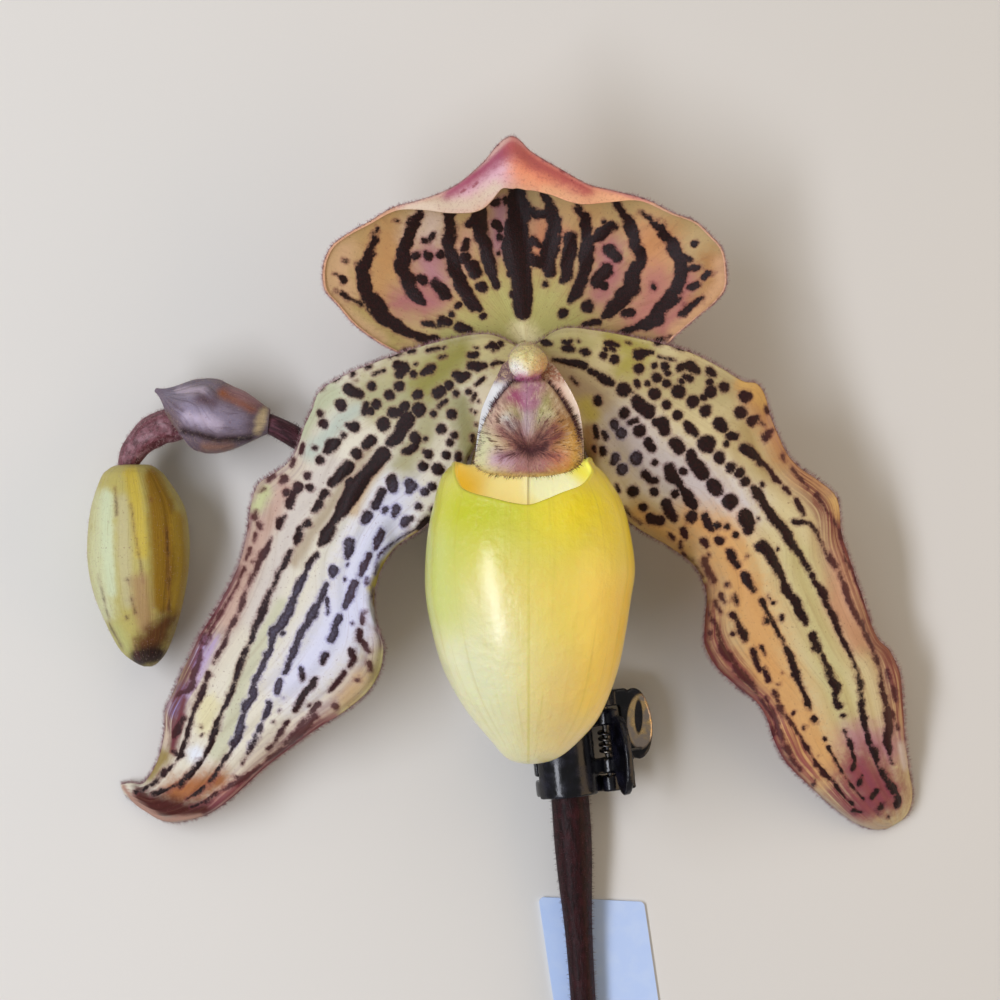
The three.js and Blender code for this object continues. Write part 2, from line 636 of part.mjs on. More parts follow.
function buildClip() {
  const clip = new THREE.Group();
  clip.add(
    piece('clip_rear_jaw', clipJaw(false), 'clip'),
    piece('clip_front_jaw', clipJaw(true), 'clip'),
    piece('clip_pin', clipPin(), 'wire'),
    piece('clip_spring', clipSpring(), 'wire'),
  );
  clip.position.copy(at(CLIP.x, CLIP.y, CLIP.z));
  clip.rotation.z = THREE.MathUtils.degToRad(CLIP.turn);
  return clip;
}

function buildLabel() {
  const label = piece('plant_label', plantLabel(), 'label');
  label.position.copy(at(LABEL.x, LABEL.y, 0));
  label.position.z = 0;
  label.rotation.z = THREE.MathUtils.degToRad(LABEL.turn);
  return label;
}

const orchid = new THREE.Group();
orchid.add(buildPlant(), buildClip(), buildLabel());
orchid.updateMatrixWorld(true);
const box = new THREE.Box3().setFromObject(orchid, true);
const middle = box.getCenter(new THREE.Vector3());
orchid.position.set(-middle.x, -middle.y, -box.min.z);

export default orchid;
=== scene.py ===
# %% [markdown]
# # A slipper orchid in bloom
# A cut flowering stem of a slipper orchid lies on its back: one open flower that faces up, one
# bud on the same stem, a small claw clip that grips the stem, and a bare plant label under it.
# The real flower has a spotted back sepal that hoods over, two broad spotted petals that hang to
# the sides, a waxy yellow pouch, and a hairy shield in the middle. The CAD frame gives each
# piece's place and size. Here every soft piece is drawn again as a fine mesh, with its own
# markings, veins and hairs, and takes the place of its plain CAD solid.

# %% The frame
import math
from functools import partial

import bmesh
import bpy
import numpy as np
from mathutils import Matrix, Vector


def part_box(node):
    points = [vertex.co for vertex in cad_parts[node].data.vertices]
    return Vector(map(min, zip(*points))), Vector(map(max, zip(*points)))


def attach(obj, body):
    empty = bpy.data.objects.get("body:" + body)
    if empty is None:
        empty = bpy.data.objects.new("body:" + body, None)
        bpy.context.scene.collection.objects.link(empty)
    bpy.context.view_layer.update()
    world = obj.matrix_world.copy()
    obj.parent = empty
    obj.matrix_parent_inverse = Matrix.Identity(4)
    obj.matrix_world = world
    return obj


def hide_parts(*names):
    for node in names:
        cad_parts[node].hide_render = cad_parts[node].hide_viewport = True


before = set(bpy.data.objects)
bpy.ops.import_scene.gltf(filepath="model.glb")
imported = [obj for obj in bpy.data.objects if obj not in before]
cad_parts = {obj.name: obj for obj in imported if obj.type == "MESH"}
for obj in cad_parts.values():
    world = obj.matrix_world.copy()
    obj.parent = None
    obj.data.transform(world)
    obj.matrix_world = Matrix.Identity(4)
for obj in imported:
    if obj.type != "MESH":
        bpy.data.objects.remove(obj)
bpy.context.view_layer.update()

# %% [markdown]
# ## The drawing sheet
# A flower is drawn as it is seen from straight above, because that is how its outlines and
# markings are known best. The sheet is 1000 units wide, a unit is 0.152 mm in the flower's plane,
# x runs right and y runs down. A thing that lies lower than the flower's plane is further from
# the eye, so it is drawn smaller than it is: place() undoes that. The clip's steel pin is the one
# part that the sheet and the CAD frame both know exactly, so it ties the two together.

# %% From the sheet to the frame
UNIT = 0.152  # mm to a unit, in the flower's plane
EYE = 480.0  # mm from the eye to the flower's plane
PLANE = 26.0  # mm from the surface to the flower's plane
EYE_SPOT = (500.0, 500.0)  # the point of the sheet under the eye
CLIP_SPOT = (564.08, 745.2, 5.15)  # middle of the stem inside the clip: x, y, height in mm
CLIP_TURN = math.radians(6)
PIN_REACH = 6.9  # mm from the middle of the stem to the pin

low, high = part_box("clip_pin")
pin = 500 * (np.array(low) + np.array(high))
FOOT = pin - [PIN_REACH * math.cos(CLIP_TURN), PIN_REACH * math.sin(CLIP_TURN), CLIP_SPOT[2]]
FOOT[0] -= (CLIP_SPOT[0] - EYE_SPOT[0]) * UNIT * (EYE + PLANE - CLIP_SPOT[2]) / EYE
FOOT[1] += (CLIP_SPOT[1] - EYE_SPOT[1]) * UNIT * (EYE + PLANE - CLIP_SPOT[2]) / EYE


def place(x, y, z):
    """Points in the row frame, in mm, from sheet units and a height in mm."""
    x, y, z = np.broadcast_arrays(np.asarray(x, float), y, z)
    scale = UNIT * (EYE + PLANE - z) / EYE
    across = FOOT[0] + (x - EYE_SPOT[0]) * scale
    return np.stack([across, FOOT[1] - (y - EYE_SPOT[1]) * scale, FOOT[2] + z], -1)


def drawn(points):
    """Sheet units of points in the row frame: the way back from place()."""
    z = points[..., 2] - FOOT[2]
    scale = UNIT * (EYE + PLANE - z) / EYE
    x = EYE_SPOT[0] + (points[..., 0] - FOOT[0]) / scale
    return x, EYE_SPOT[1] - (points[..., 1] - FOOT[1]) / scale


def smooth(low, high, value):
    """0 below low, 1 above high, with an S curve between them."""
    t = np.clip((np.asarray(value, float) - low) / (high - low), 0, 1)
    return t * t * (3 - 2 * t)


def through(knots, values, where):
    """A smooth curve through values at knots, by cubic pieces. Values may be vectors."""
    knots, values = np.asarray(knots, float), np.asarray(values, float)
    before = np.maximum(np.arange(len(knots)) - 1, 0)
    after = np.minimum(np.arange(len(knots)) + 1, len(knots) - 1)
    tail = (1,) * (values.ndim - 1)
    slope = (values[after] - values[before]) / (knots[after] - knots[before]).reshape(-1, *tail)
    where = np.clip(np.asarray(where, float), knots[0], knots[-1])
    i = np.clip(np.searchsorted(knots, where), 1, len(knots) - 1)
    span = (knots[i] - knots[i - 1]).reshape(where.shape + tail)
    t = (where - knots[i - 1]).reshape(where.shape + tail) / span
    blend, bend = t * t * (3 - 2 * t), span * t * (1 - t)
    start, end = values[i - 1], values[i]
    return start + (end - start) * blend + bend * ((1 - t) * slope[i - 1] - t * slope[i])


def curve(pairs, where):
    """The same, from a list of (knot, value) pairs."""
    return through([a for a, _ in pairs], [b for _, b in pairs], where)


def even(points, count):
    """count points evenly spaced along a smooth curve through points."""
    points = np.asarray(points, float)
    pace = np.sqrt(np.linalg.norm(np.diff(points, axis=0), axis=1)) + 1e-9
    at = np.concatenate([[0], np.cumsum(pace)])
    fine = through(at, points, np.linspace(0, at[-1], 40 * len(points)))
    run = np.concatenate([[0], np.cumsum(np.linalg.norm(np.diff(fine, axis=0), axis=1))])
    share = np.linspace(0, run[-1], count)
    return np.stack([np.interp(share, run, fine[:, k]) for k in range(points.shape[1])], -1)


print("foot of the eye, mm:", FOOT.round(2))

# %% [markdown]
# ## Meshes and hairs
# Leaves and petals are thin sheets, stalks are tubes: both come from a grid of points. The
# signed volume says whether the faces point out. Orchid hairs are all one shape, a fine tapering
# cone, so one Geometry Nodes group sets a three-sided cone on every point that it is given and
# then makes them real: three sides are enough for hairs under a tenth of a millimetre thick.

# %% Mesh helpers
def make_piece(name, points, faces, material, slot, nodes=(), body="orchid", **attributes):
    """A smooth mesh piece that rides on a body; points in mm, attributes one value a point."""
    first = np.array([face[:3] for face in faces])
    second = np.array([[face[0], *face[2:4]] for face in faces if len(face) == 4]).reshape(-1, 3)
    corner = points[np.concatenate([first, second])]
    volume = (corner[:, 0] * np.cross(corner[:, 1], corner[:, 2])).sum() / 6
    if volume < 0:
        faces = [face[::-1] for face in faces]
    mesh = bpy.data.meshes.new(name)
    mesh.from_pydata((points / 1000).tolist(), [], faces)
    mesh.shade_smooth()
    for key, values in attributes.items():
        values = np.array(np.broadcast_to(values, len(points)), np.float32)
        mesh.attributes.new(key, "FLOAT", "POINT").data.foreach_set("value", values)
    mesh.materials.append(material)
    piece = bpy.data.objects.new(name, mesh)
    bpy.context.scene.collection.objects.link(piece)
    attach(piece, body)
    if nodes:
        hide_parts(*nodes)
    size = (points.max(0) - points.min(0)).round(1)
    print(f"{name}: {len(points)} points, {len(faces)} faces, {size} mm, {abs(volume):.0f} mm3")


def grid_faces(rows, columns, closed=False, start=0):
    """Quads of a grid of points; closed joins the last column to the first."""
    r, c = np.meshgrid(np.arange(rows - 1), np.arange(columns - (not closed)), indexing="ij")
    r, c = r.ravel(), c.ravel()
    d = (c + 1) % columns
    quads = [r * columns + c, r * columns + d, (r + 1) * columns + d, (r + 1) * columns + c]
    return np.stack(quads, -1) + start


def normals(grid):
    """Unit normals of a grid of points."""
    normal = np.cross(np.gradient(grid, axis=1), np.gradient(grid, axis=0))
    return normal / (np.linalg.norm(normal, axis=-1, keepdims=True) + 1e-12)

# %% Sheets
def sheet(grid, half):
    """Both faces of a thin sheet around a grid of points, joined all round its edge: the points,
    the faces, and 1 on the points of the second face, which has half as many rows and columns.
    The grid has odd numbers of both."""
    out = normals(grid) * np.broadcast_to(half, grid.shape[:2])[..., None]
    front, back = grid + out, (grid - out)[::2, ::2]
    points = np.concatenate([front.reshape(-1, 3), back.reshape(-1, 3)])
    shift = front.shape[0] * front.shape[1]

    def rim(shape):
        index = np.arange(shape[0] * shape[1]).reshape(shape[:2])
        return np.array([*index[0], *index[1:, -1], *index[-1, -2::-1], *index[-2:0:-1, 0]])

    long, short = rim(front.shape), rim(back.shape) + shift
    one, two, three = long[::2], long[1::2], np.roll(long[::2], -1)
    edge = np.concatenate([np.stack(c, -1) for c in
                           ([two, one, short], [three, two, np.roll(short, -1)],
                            [two, short, np.roll(short, -1)])])
    faces = [*grid_faces(*front.shape[:2]).tolist(), *edge.tolist()]
    faces += grid_faces(*back.shape[:2], start=shift)[:, ::-1].tolist()
    return points, faces, np.repeat([0.0, 1.0], [shift, len(points) - shift])


def both_faces(values):
    """Values of a sheet's grid, for the points of both its faces."""
    return np.concatenate([values.ravel(), values[::2, ::2].ravel()])


def make_sheet(name, grid, half, material, slot, nodes=(), **values):
    """A piece that is a thin sheet around a grid of points; values are one for each of them."""
    points, faces, back = sheet(grid, half)
    values = {key: both_faces(np.broadcast_to(a, grid.shape[:2])) for key, a in values.items()}
    make_piece(name, points, faces, material, slot, nodes, back=back, **values)

# %% Tubes
def tube(rings):
    """A closed skin over rings of points, with a point in the middle of each end."""
    count, around = rings.shape[:2]
    points = np.concatenate([rings.reshape(-1, 3), [rings[0].mean(0), rings[-1].mean(0)]])
    i = np.arange(around)
    j = (i + 1) % around
    last, first = (count - 1) * around, np.full(around, count * around)
    faces = [grid_faces(count, around, closed=True)]
    faces.append(np.stack([j, i, first, first], -1))
    faces.append(np.stack([last + i, last + j, first + 1, first + 1], -1))
    return points, np.concatenate(faces).tolist()


def with_ends(values, rings):
    """Values of a tube's grid, for its rings and its two end points."""
    values = np.broadcast_to(values, rings.shape[:2])
    return np.concatenate([values.ravel(), [values[0, 0], values[-1, 0]]])


def frames(line):
    """Tangents, sides and ups along a line of points, turning as little as they can."""
    along = np.gradient(line, axis=0)
    along /= np.linalg.norm(along, axis=1, keepdims=True)
    side = np.cross([0, 0, 1], along[0])
    sides = []
    for direction in along:
        side = side - direction * (side @ direction)
        side = side / np.linalg.norm(side)
        sides.append(side)
    sides = np.array(sides)
    return along, sides, np.cross(along, sides)

# %% Places of hairs
def sprinkle(rng, grid, weight, count):
    """Random places on a grid of points, denser where weight is higher: points and normals."""
    across = np.cross(np.gradient(grid, axis=1), np.gradient(grid, axis=0))
    area = np.linalg.norm(across, axis=-1) * weight
    pick = rng.choice(area.size, count, p=area.ravel() / area.sum())
    r, c = np.divmod(pick, grid.shape[1])
    r, c = np.minimum(r, grid.shape[0] - 2), np.minimum(c, grid.shape[1] - 2)
    a, b = rng.random((2, count, 1))
    near = grid[r, c] * (1 - b) + grid[r, c + 1] * b
    far = grid[r + 1, c] * (1 - b) + grid[r + 1, c + 1] * b
    return near * (1 - a) + far * a, normals(grid)[r, c]


def fringe(rng, edge, inner, count):
    """Random places along an edge, each with the way out of the sheet there."""
    run = np.concatenate([[0], np.cumsum(np.linalg.norm(np.diff(edge, axis=0), axis=1))])
    share = rng.random(count) * run[-1]
    out = edge - inner
    out /= np.linalg.norm(out, axis=1, keepdims=True) + 1e-9
    pick = [np.stack([np.interp(share, run, a[:, k]) for k in range(3)], -1) for a in (edge, out)]
    return pick[0], pick[1]


# %% [markdown]
# ## Node trees
# Every material and the hair group are trees of nodes. One function adds a node with its
# settings and links. So that a line of a tree reads like a formula, four kinds have short names,
# a word in capitals is an operation of the math node, and any other word in small letters is a
# value that the mesh keeps for each of its points.

# %% Nodes
KINDS = {  # short name: kind, usual settings, inputs in the order in which they are given
    # a colour, and the share of another one over it
    "mix": ("ShaderNodeMixRGB", {}, (0, 1, 2)),
    # an S curve: value, low, high, and what it gives below low and above high
    "ramp": ("ShaderNodeMapRange", {"interpolation_type": "SMOOTHSTEP"}, (0, 1, 2, 3, 4)),
    # cloudy noise: place, scale, detail, roughness
    "noise": ("ShaderNodeTexNoise", {}, ("Vector", "Scale", "Detail", "Roughness")),
    # a place for noise, made of three values
    "vector": ("ShaderNodeCombineXYZ", {}, (0, 1, 2)),
}

# %% Adding nodes
def colour(code):
    """Linear RGBA of an sRGB hex colour."""
    parts = [int(code[i:i + 2], 16) / 255 for i in (1, 3, 5)]
    return [p / 12.92 if p < 0.04045 else ((p + 0.055) / 1.055) ** 2.4 for p in parts] + [1]


def plug(node, inputs):
    """Sets a node's inputs to values, of which a hex code is a colour, or links them to other
    nodes' shares or first outputs."""
    for socket, value in inputs.items():
        if isinstance(value, str) and value.startswith("#"):
            value = colour(value)
        if isinstance(value, bpy.types.Node):
            value = value.outputs.get("Fac") or value.outputs[0]
        if isinstance(value, bpy.types.NodeSocket):
            node.id_data.links.new(value, node.inputs[socket])
        else:
            node.inputs[socket].default_value = value


def add(tree, kind, *inputs, **settings):
    """A node with its settings and inputs: one dictionary, or values in order for a short name
    or an operation."""
    usual, sockets = {}, (0, 1, 2)
    if kind in KINDS:
        kind, usual, sockets = KINDS[kind]
    elif kind.isupper():
        kind, usual = "ShaderNodeMath", {"operation": kind}
    elif kind.islower():
        kind, usual = "ShaderNodeAttribute", {"attribute_name": kind}
    node = tree.nodes.new(kind)
    for key, value in {**usual, **settings}.items():
        setattr(node, key, value)
    whole = inputs and isinstance(inputs[0], dict)
    plug(node, inputs[0] if whole else dict(zip(sockets, inputs)))
    return node

# %% Hairs from their roots
def hair_group():
    """A node group that sets a three-sided cone on every point of a mesh: 'way' aims it and
    'size' scales it."""
    tree = bpy.data.node_groups.new("hairs", "GeometryNodeTree")
    node = partial(add, tree)
    new = tree.interface.new_socket
    new("Roots", in_out="INPUT", socket_type="NodeSocketGeometry")
    new("Length", in_out="INPUT", socket_type="NodeSocketFloat").default_value = 0.0007
    new("Thickness", in_out="INPUT", socket_type="NodeSocketFloat").default_value = 0.00004
    new("Material", in_out="INPUT", socket_type="NodeSocketMaterial")
    new("Hairs", in_out="OUTPUT", socket_type="NodeSocketGeometry")
    given = node("NodeGroupInput").outputs
    cone = node("GeometryNodeMeshCone",
                {"Vertices": 3, "Radius Top": 0, "Radius Bottom": given["Thickness"],
                 "Depth": given["Length"]}, fill_type="NONE")
    way = node("GeometryNodeInputNamedAttribute", {"Name": "way"}, data_type="FLOAT_VECTOR")
    size = node("GeometryNodeInputNamedAttribute", {"Name": "size"}, data_type="FLOAT")
    aim = node("FunctionNodeAlignRotationToVector", {"Vector": way}, axis="Z")
    copies = node("GeometryNodeInstanceOnPoints",
                  {"Points": given["Roots"], "Instance": cone, "Rotation": aim, "Scale": size})
    real = node("GeometryNodeRealizeInstances", {0: copies})
    finish = node("GeometryNodeSetMaterial", {0: real, "Material": given["Material"]})
    node("NodeGroupOutput", {0: finish})
    return tree


def hairs(name, roots, ways, sizes, length, thick, material):
    """A piece made of hairs, in mm: length and thick are those of a hair of size 1."""
    mesh = bpy.data.meshes.new(name)
    mesh.from_pydata((roots / 1000).tolist(), [], [])
    way = mesh.attributes.new("way", "FLOAT_VECTOR", "POINT")
    way.data.foreach_set("vector", np.asarray(ways, np.float32).ravel())
    size = mesh.attributes.new("size", "FLOAT", "POINT")
    size.data.foreach_set("value", np.asarray(sizes, np.float32))
    piece = bpy.data.objects.new(name, mesh)
    bpy.context.scene.collection.objects.link(piece)
    grow = piece.modifiers.new("hairs", "NODES")
    grow.node_group = bpy.data.node_groups.get("hairs") or hair_group()
    values = {"Length": length / 1000, "Thickness": thick / 1000, "Material": material}
    for socket in grow.node_group.interface.items_tree:
        if socket.name in values:
            grow[socket.identifier] = values[socket.name]
    view = bpy.context.evaluated_depsgraph_get()
    piece.data = bpy.data.meshes.new_from_object(piece.evaluated_get(view))
    piece.modifiers.clear()
    piece.data.shade_smooth()
    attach(piece, "orchid")
    print(f"{name}: {len(roots)} hairs, {len(piece.data.polygons)} faces")


# %% [markdown]
# ## Camera, floor and light
# The eye looks straight down on the flower from 480 mm above its plane, and sees 152 mm of it.
# The light is that of a room with one large window: cool and soft from the left, a weaker warm
# light from the right, and a pale room all round.

# %% Camera
camera = bpy.data.objects.new("camera", bpy.data.cameras.new("camera"))
camera.data.sensor_width = 36
camera.data.lens = 36 * EYE / (1000 * UNIT)
camera.location = Vector(FOOT + [0, 0, PLANE + EYE]) / 1000
bpy.context.scene.collection.objects.link(camera)
bpy.context.scene.camera = camera
bpy.context.scene.view_settings.view_transform = "Standard"

# %% Light
def lamp(name, place_mm, target_mm, size_mm, watts, tint):
    """A soft rectangular light; places in mm from the foot of the eye."""
    light = bpy.data.lights.new(name, "AREA")
    light.shape = "RECTANGLE"
    light.size, light.size_y = size_mm[0] / 1000, size_mm[1] / 1000
    light.energy = watts
    light.color = colour(tint)[:3]
    holder = bpy.data.objects.new(name, light)
    holder.location = Vector(FOOT + place_mm) / 1000
    aim = Vector(target_mm) - Vector(place_mm)
    holder.rotation_euler = aim.to_track_quat("-Z", "Y").to_euler()
    bpy.context.scene.collection.objects.link(holder)


lamp("window", (-330, -60, 470), (0, 0, 20), (680, 120), 2.9, "#F1F4FF")
lamp("room_right", (520, -40, 230), (0, 0, 15), (600, 420), 1.2, "#FFD9A8")
lamp("overhead", (40, 420, 520), (0, 0, 15), (800, 500), 0.8, "#FFF6E8")

world = bpy.data.worlds.new("room")
world.use_nodes = True
plug(world.node_tree.nodes["Background"], {"Color": "#F1EFEA", "Strength": 0.3})
bpy.context.scene.world = world

# %% Floor
# Matt paper: a quiet pale ground that takes soft shadows.
paper = bpy.data.materials.new("paper")
paper.use_nodes = True
plug(paper.node_tree.nodes["Principled BSDF"], {"Base Color": "#D9D7D2", "Roughness": 0.9})
floor_mesh = bpy.data.meshes.new("floor")
floor_mesh.from_pydata([(-3, -3, 0), (3, -3, 0), (3, 3, 0), (-3, 3, 0)], [], [(0, 1, 2, 3)])
floor_mesh.materials.append(paper)
floor = bpy.data.objects.new("floor", floor_mesh)
bpy.context.scene.collection.objects.link(floor)
print("camera, mm:", [round(1000 * c, 1) for c in camera.location], "lens:", camera.data.lens)

# %% [markdown]
# ## Living tissue
# A petal is a thin, matt, slightly waxy tissue with fine veins along it. Its ground colour
# changes in soft washes: greenish at the foot, cream and tan in the middle, pink and maroon along
# the margins. A few washes are painted light: a lavender-white painted reflection of the window
# on the left petal, and a grey-green painted shade where it curves away. Each wash is a brush
# stroke on the drawing sheet, and gives each point of the mesh a share from 0 to 1, and the
# material lays the washes' colours over each other in turn. The dark marks are drawn as strokes
# too, each a line of spots with its half width. The mesh keeps the distance to the nearest mark,
# so the material can break up its edge finer than the mesh, and give it a thin halo and the wet
# gloss that the real warts have. Where a painted sheen stands for the window's reflection, the
# halo turns violet and the marks a pale violet-grey.

# %% Washes and marks
def distance_to(strokes, x, y):
    """Sheet units to the edge of the nearest stroke, below 0 inside it. A stroke is a line of
    (x, y, half width)."""
    nearest = np.full(np.shape(x), 999.0)
    for stroke in strokes:
        for (ax, ay, ar), (bx, by, br) in zip(stroke, stroke[1:] or stroke):
            dx, dy = bx - ax, by - ay
            t = np.clip(((x - ax) * dx + (y - ay) * dy) / (dx * dx + dy * dy + 1e-9), 0, 1)
            edge = np.hypot(x - ax - t * dx, y - ay - t * dy) - ar - t * (br - ar)
            nearest = np.minimum(nearest, edge)
    return nearest


def shares(washes, x, y):
    """Each wash's share at points of the sheet, from 1 on its stroke to 0 a softness away."""
    return {f"wash_{i}": 1 - smooth(-0.35 * soft, 1.15 * soft, distance_to([stroke], x, y))
            for i, (_, soft, stroke, *_) in enumerate(washes)}

# %% Starting and finishing a material
def start_material(name, **constants):
    """A new material, the function that adds its nodes, its shader, and the place on the object
    in mm."""
    material = bpy.data.materials.new(name)
    material.use_nodes = True
    node = partial(add, material.node_tree)
    shader = material.node_tree.nodes["Principled BSDF"]
    plug(shader, {key.replace("_", " "): value for key, value in constants.items()})
    where = node("ShaderNodeTexCoord").outputs["Object"]
    where = node("ShaderNodeVectorMath", {0: where, "Scale": 1000}, operation="SCALE")
    return material, node, shader, where


def finish_material(node, shader, *layers, **inputs):
    """Links a shader's inputs, and adds bumps over each other, each a height from 0 to 1 and its
    depth in mm."""
    normal = {}
    for height, depth in layers:
        bump = node("ShaderNodeBump", {"Height": height, "Distance": depth / 1000, "Strength": 1.0,
                                       **normal})
        normal = {"Normal": bump}
    plug(shader, {**{key.replace("_", " "): value for key, value in inputs.items()}, **normal})

# %% Washes over a ground colour
def glaze(node, ground, *coats):
    """Coats of colour over a ground. Each is a value, a ramp's inputs that make it a share, and
    the colour."""
    for value, *span, code in coats:
        ground = node("mix", node("ramp", value, *span), ground, code)
    return ground


def washed(node, where, ground, washes, prefix="wash", streaks=None):
    """Washes over a ground colour, their edges broken up by noise. One with a fourth member is
    also broken into streaks along the veins."""
    broken = node("MULTIPLY_ADD", node("noise", where, 0.8, 5, 0.7), 5.0, -2.5)
    for i, (code, _, _, *streaky) in enumerate(washes):
        share = node(f"{prefix}_{i}")
        edge = node("MULTIPLY", share, node("SUBTRACT", 1.0, share))
        share = node("MULTIPLY_ADD", edge, broken, share)
        share = node("MAXIMUM", share, 0.0)
        if streaky:
            share = node("MULTIPLY", share, node("ramp", streaks, 0.4, 0.56, 0.15, 1.0))
        ground = node("mix", share, ground, code)
    return ground

# %% Tissue
VEINS, RUN = 26.0, 5.0  # how fast the noise of the veins changes across a blade and along it


def tissue(name, base, washes, behind, vein="#8E6A50", grain=0.22, rims=None, ragged_by=7.0,
           ink=1.0, **constants):
    """Sepal or petal tissue: washes over a ground colour, veins, marks, and its back side. Rims
    are the two colours of a petal's margins, ragged_by is how far the marks break up into beads,
    and ink is how dark the marks are."""
    material, node, shader, where = start_material(name, **{
        "Roughness": 0.5, "Specular_IOR_Level": 0.22, "Sheen_Weight": 0.04, **constants})
    along, across = node("along"), node("across")
    strip = node("vector", node("MULTIPLY", across, VEINS), node("MULTIPLY", along, RUN))
    veins = node("noise", strip, 1.0, 2.5, 0.6)
    ground = base
    if rims:
        edge = node("MULTIPLY", node("ramp", node("ABSOLUTE", across), 0.42, 0.96),
                    node("ramp", along, 0.24, 0.5))
        edge = node("MULTIPLY", edge, node("ramp", along, 0.84, 0.94, 1.0, 0.0))
        rim = node("mix", node("ramp", node("noise", strip, 0.5, 5, 0.75), 0.42, 0.62), rims[0],
                   rims[1])
        ground = node("mix", node("MULTIPLY", edge, 0.8), ground, rim)
    ground = washed(node, where, ground, washes, streaks=veins)
    ground = node("mix", node("ramp", veins, 0.52, 0.7, 0, grain), ground, vein)
    fine = node("noise", where, 1.6, 3, 0.6)
    ground = node("mix", node("ramp", fine, 0.4, 0.75, 0, 0.16), ground, "#F3EBD8",
                  blend_type="SOFT_LIGHT")
    freckles = node("noise", where, 2.6, 3, 0.6)
    ground = node("mix", node("ramp", freckles, 0.63, 0.7, 0, 0.45), ground, "#6E3A34")
    back = node("back")
    ground = node("mix", node("MULTIPLY", back, 0.8), ground, behind)
    ragged, lumps = node("noise", where, 2.8, 4, 0.7), node("noise", where, 0.62, 1)
    beads = node("MULTIPLY_ADD", along, ragged_by, 2.5)
    spot = node("spot")
    for rough, reach in ((ragged, 6.0), (lumps, beads)):
        rough = node("MULTIPLY", node("SUBTRACT", rough, 0.5), reach)
        spot = node("ADD", spot, rough)
    spot = node("ADD", spot, node("MULTIPLY", back, 1.5))
    inside = node("ramp", spot, -1.1, 1.2, ink, 0.0)
    dark = node("mix", node("ramp", ragged, 0.35, 0.7), "#130404", "#2C090B")
    halo = "#6E2A36"
    if rims:
        # Painted sheen: where it stands for the window's reflection on a petal, the halo turns
        # violet and the marks a pale violet-grey.
        haze = node("haze")
        halo = node("mix", haze, halo, "#6A5A9C")
        inside = node("MULTIPLY", inside, node("ramp", edge, 0.3, 1.0, 1.0, 0.85))
        dark = node("mix", node("MULTIPLY", edge, 0.8), dark, "#4E1C20")
        sheen_on_marks = node("MULTIPLY", haze, node("ramp", spot, -3.0, -0.7, 1, 0.3))
        sheen_on_marks = node("MULTIPLY", sheen_on_marks, node("ramp", freckles, 0.4, 0.58, 0.8, 0.42))
        dark = node("mix", sheen_on_marks, dark, "#565064")
    ground = node("mix", node("ramp", spot, 0.2, 3.8, 0.5 * ink, 0.0), ground, halo)
    inside = node("MULTIPLY", inside, node("ramp", back, 0.2, 0.8, 1.0, 0.45))
    ground = node("mix", inside, ground, dark)
    worn = node("MULTIPLY", node("noise", where, 5.0, 2), inside)
    finish_material(node, shader, (veins, 0.35 * grain), (node("noise", where, 7.0, 2, 0.6), 0.04),
                    (worn, 0.08), Base_Color=ground,
                    Roughness=node("ramp", inside, 0, 1, 0.5, 0.46))
    return material

# %% [markdown]
# ## The two petals
# Each petal is a thin blade that leaves the middle of the flower nearly level, broadens, and then
# hangs down and back to a narrow tip. It is drawn as a ladder: rungs from its upper to its lower
# margin, each end with its height. Between them the blade is arched, slightly pleated along its
# veins, and wavy near its margins. The dark warts stand up from it by a tenth of a millimetre,
# so they catch the light.

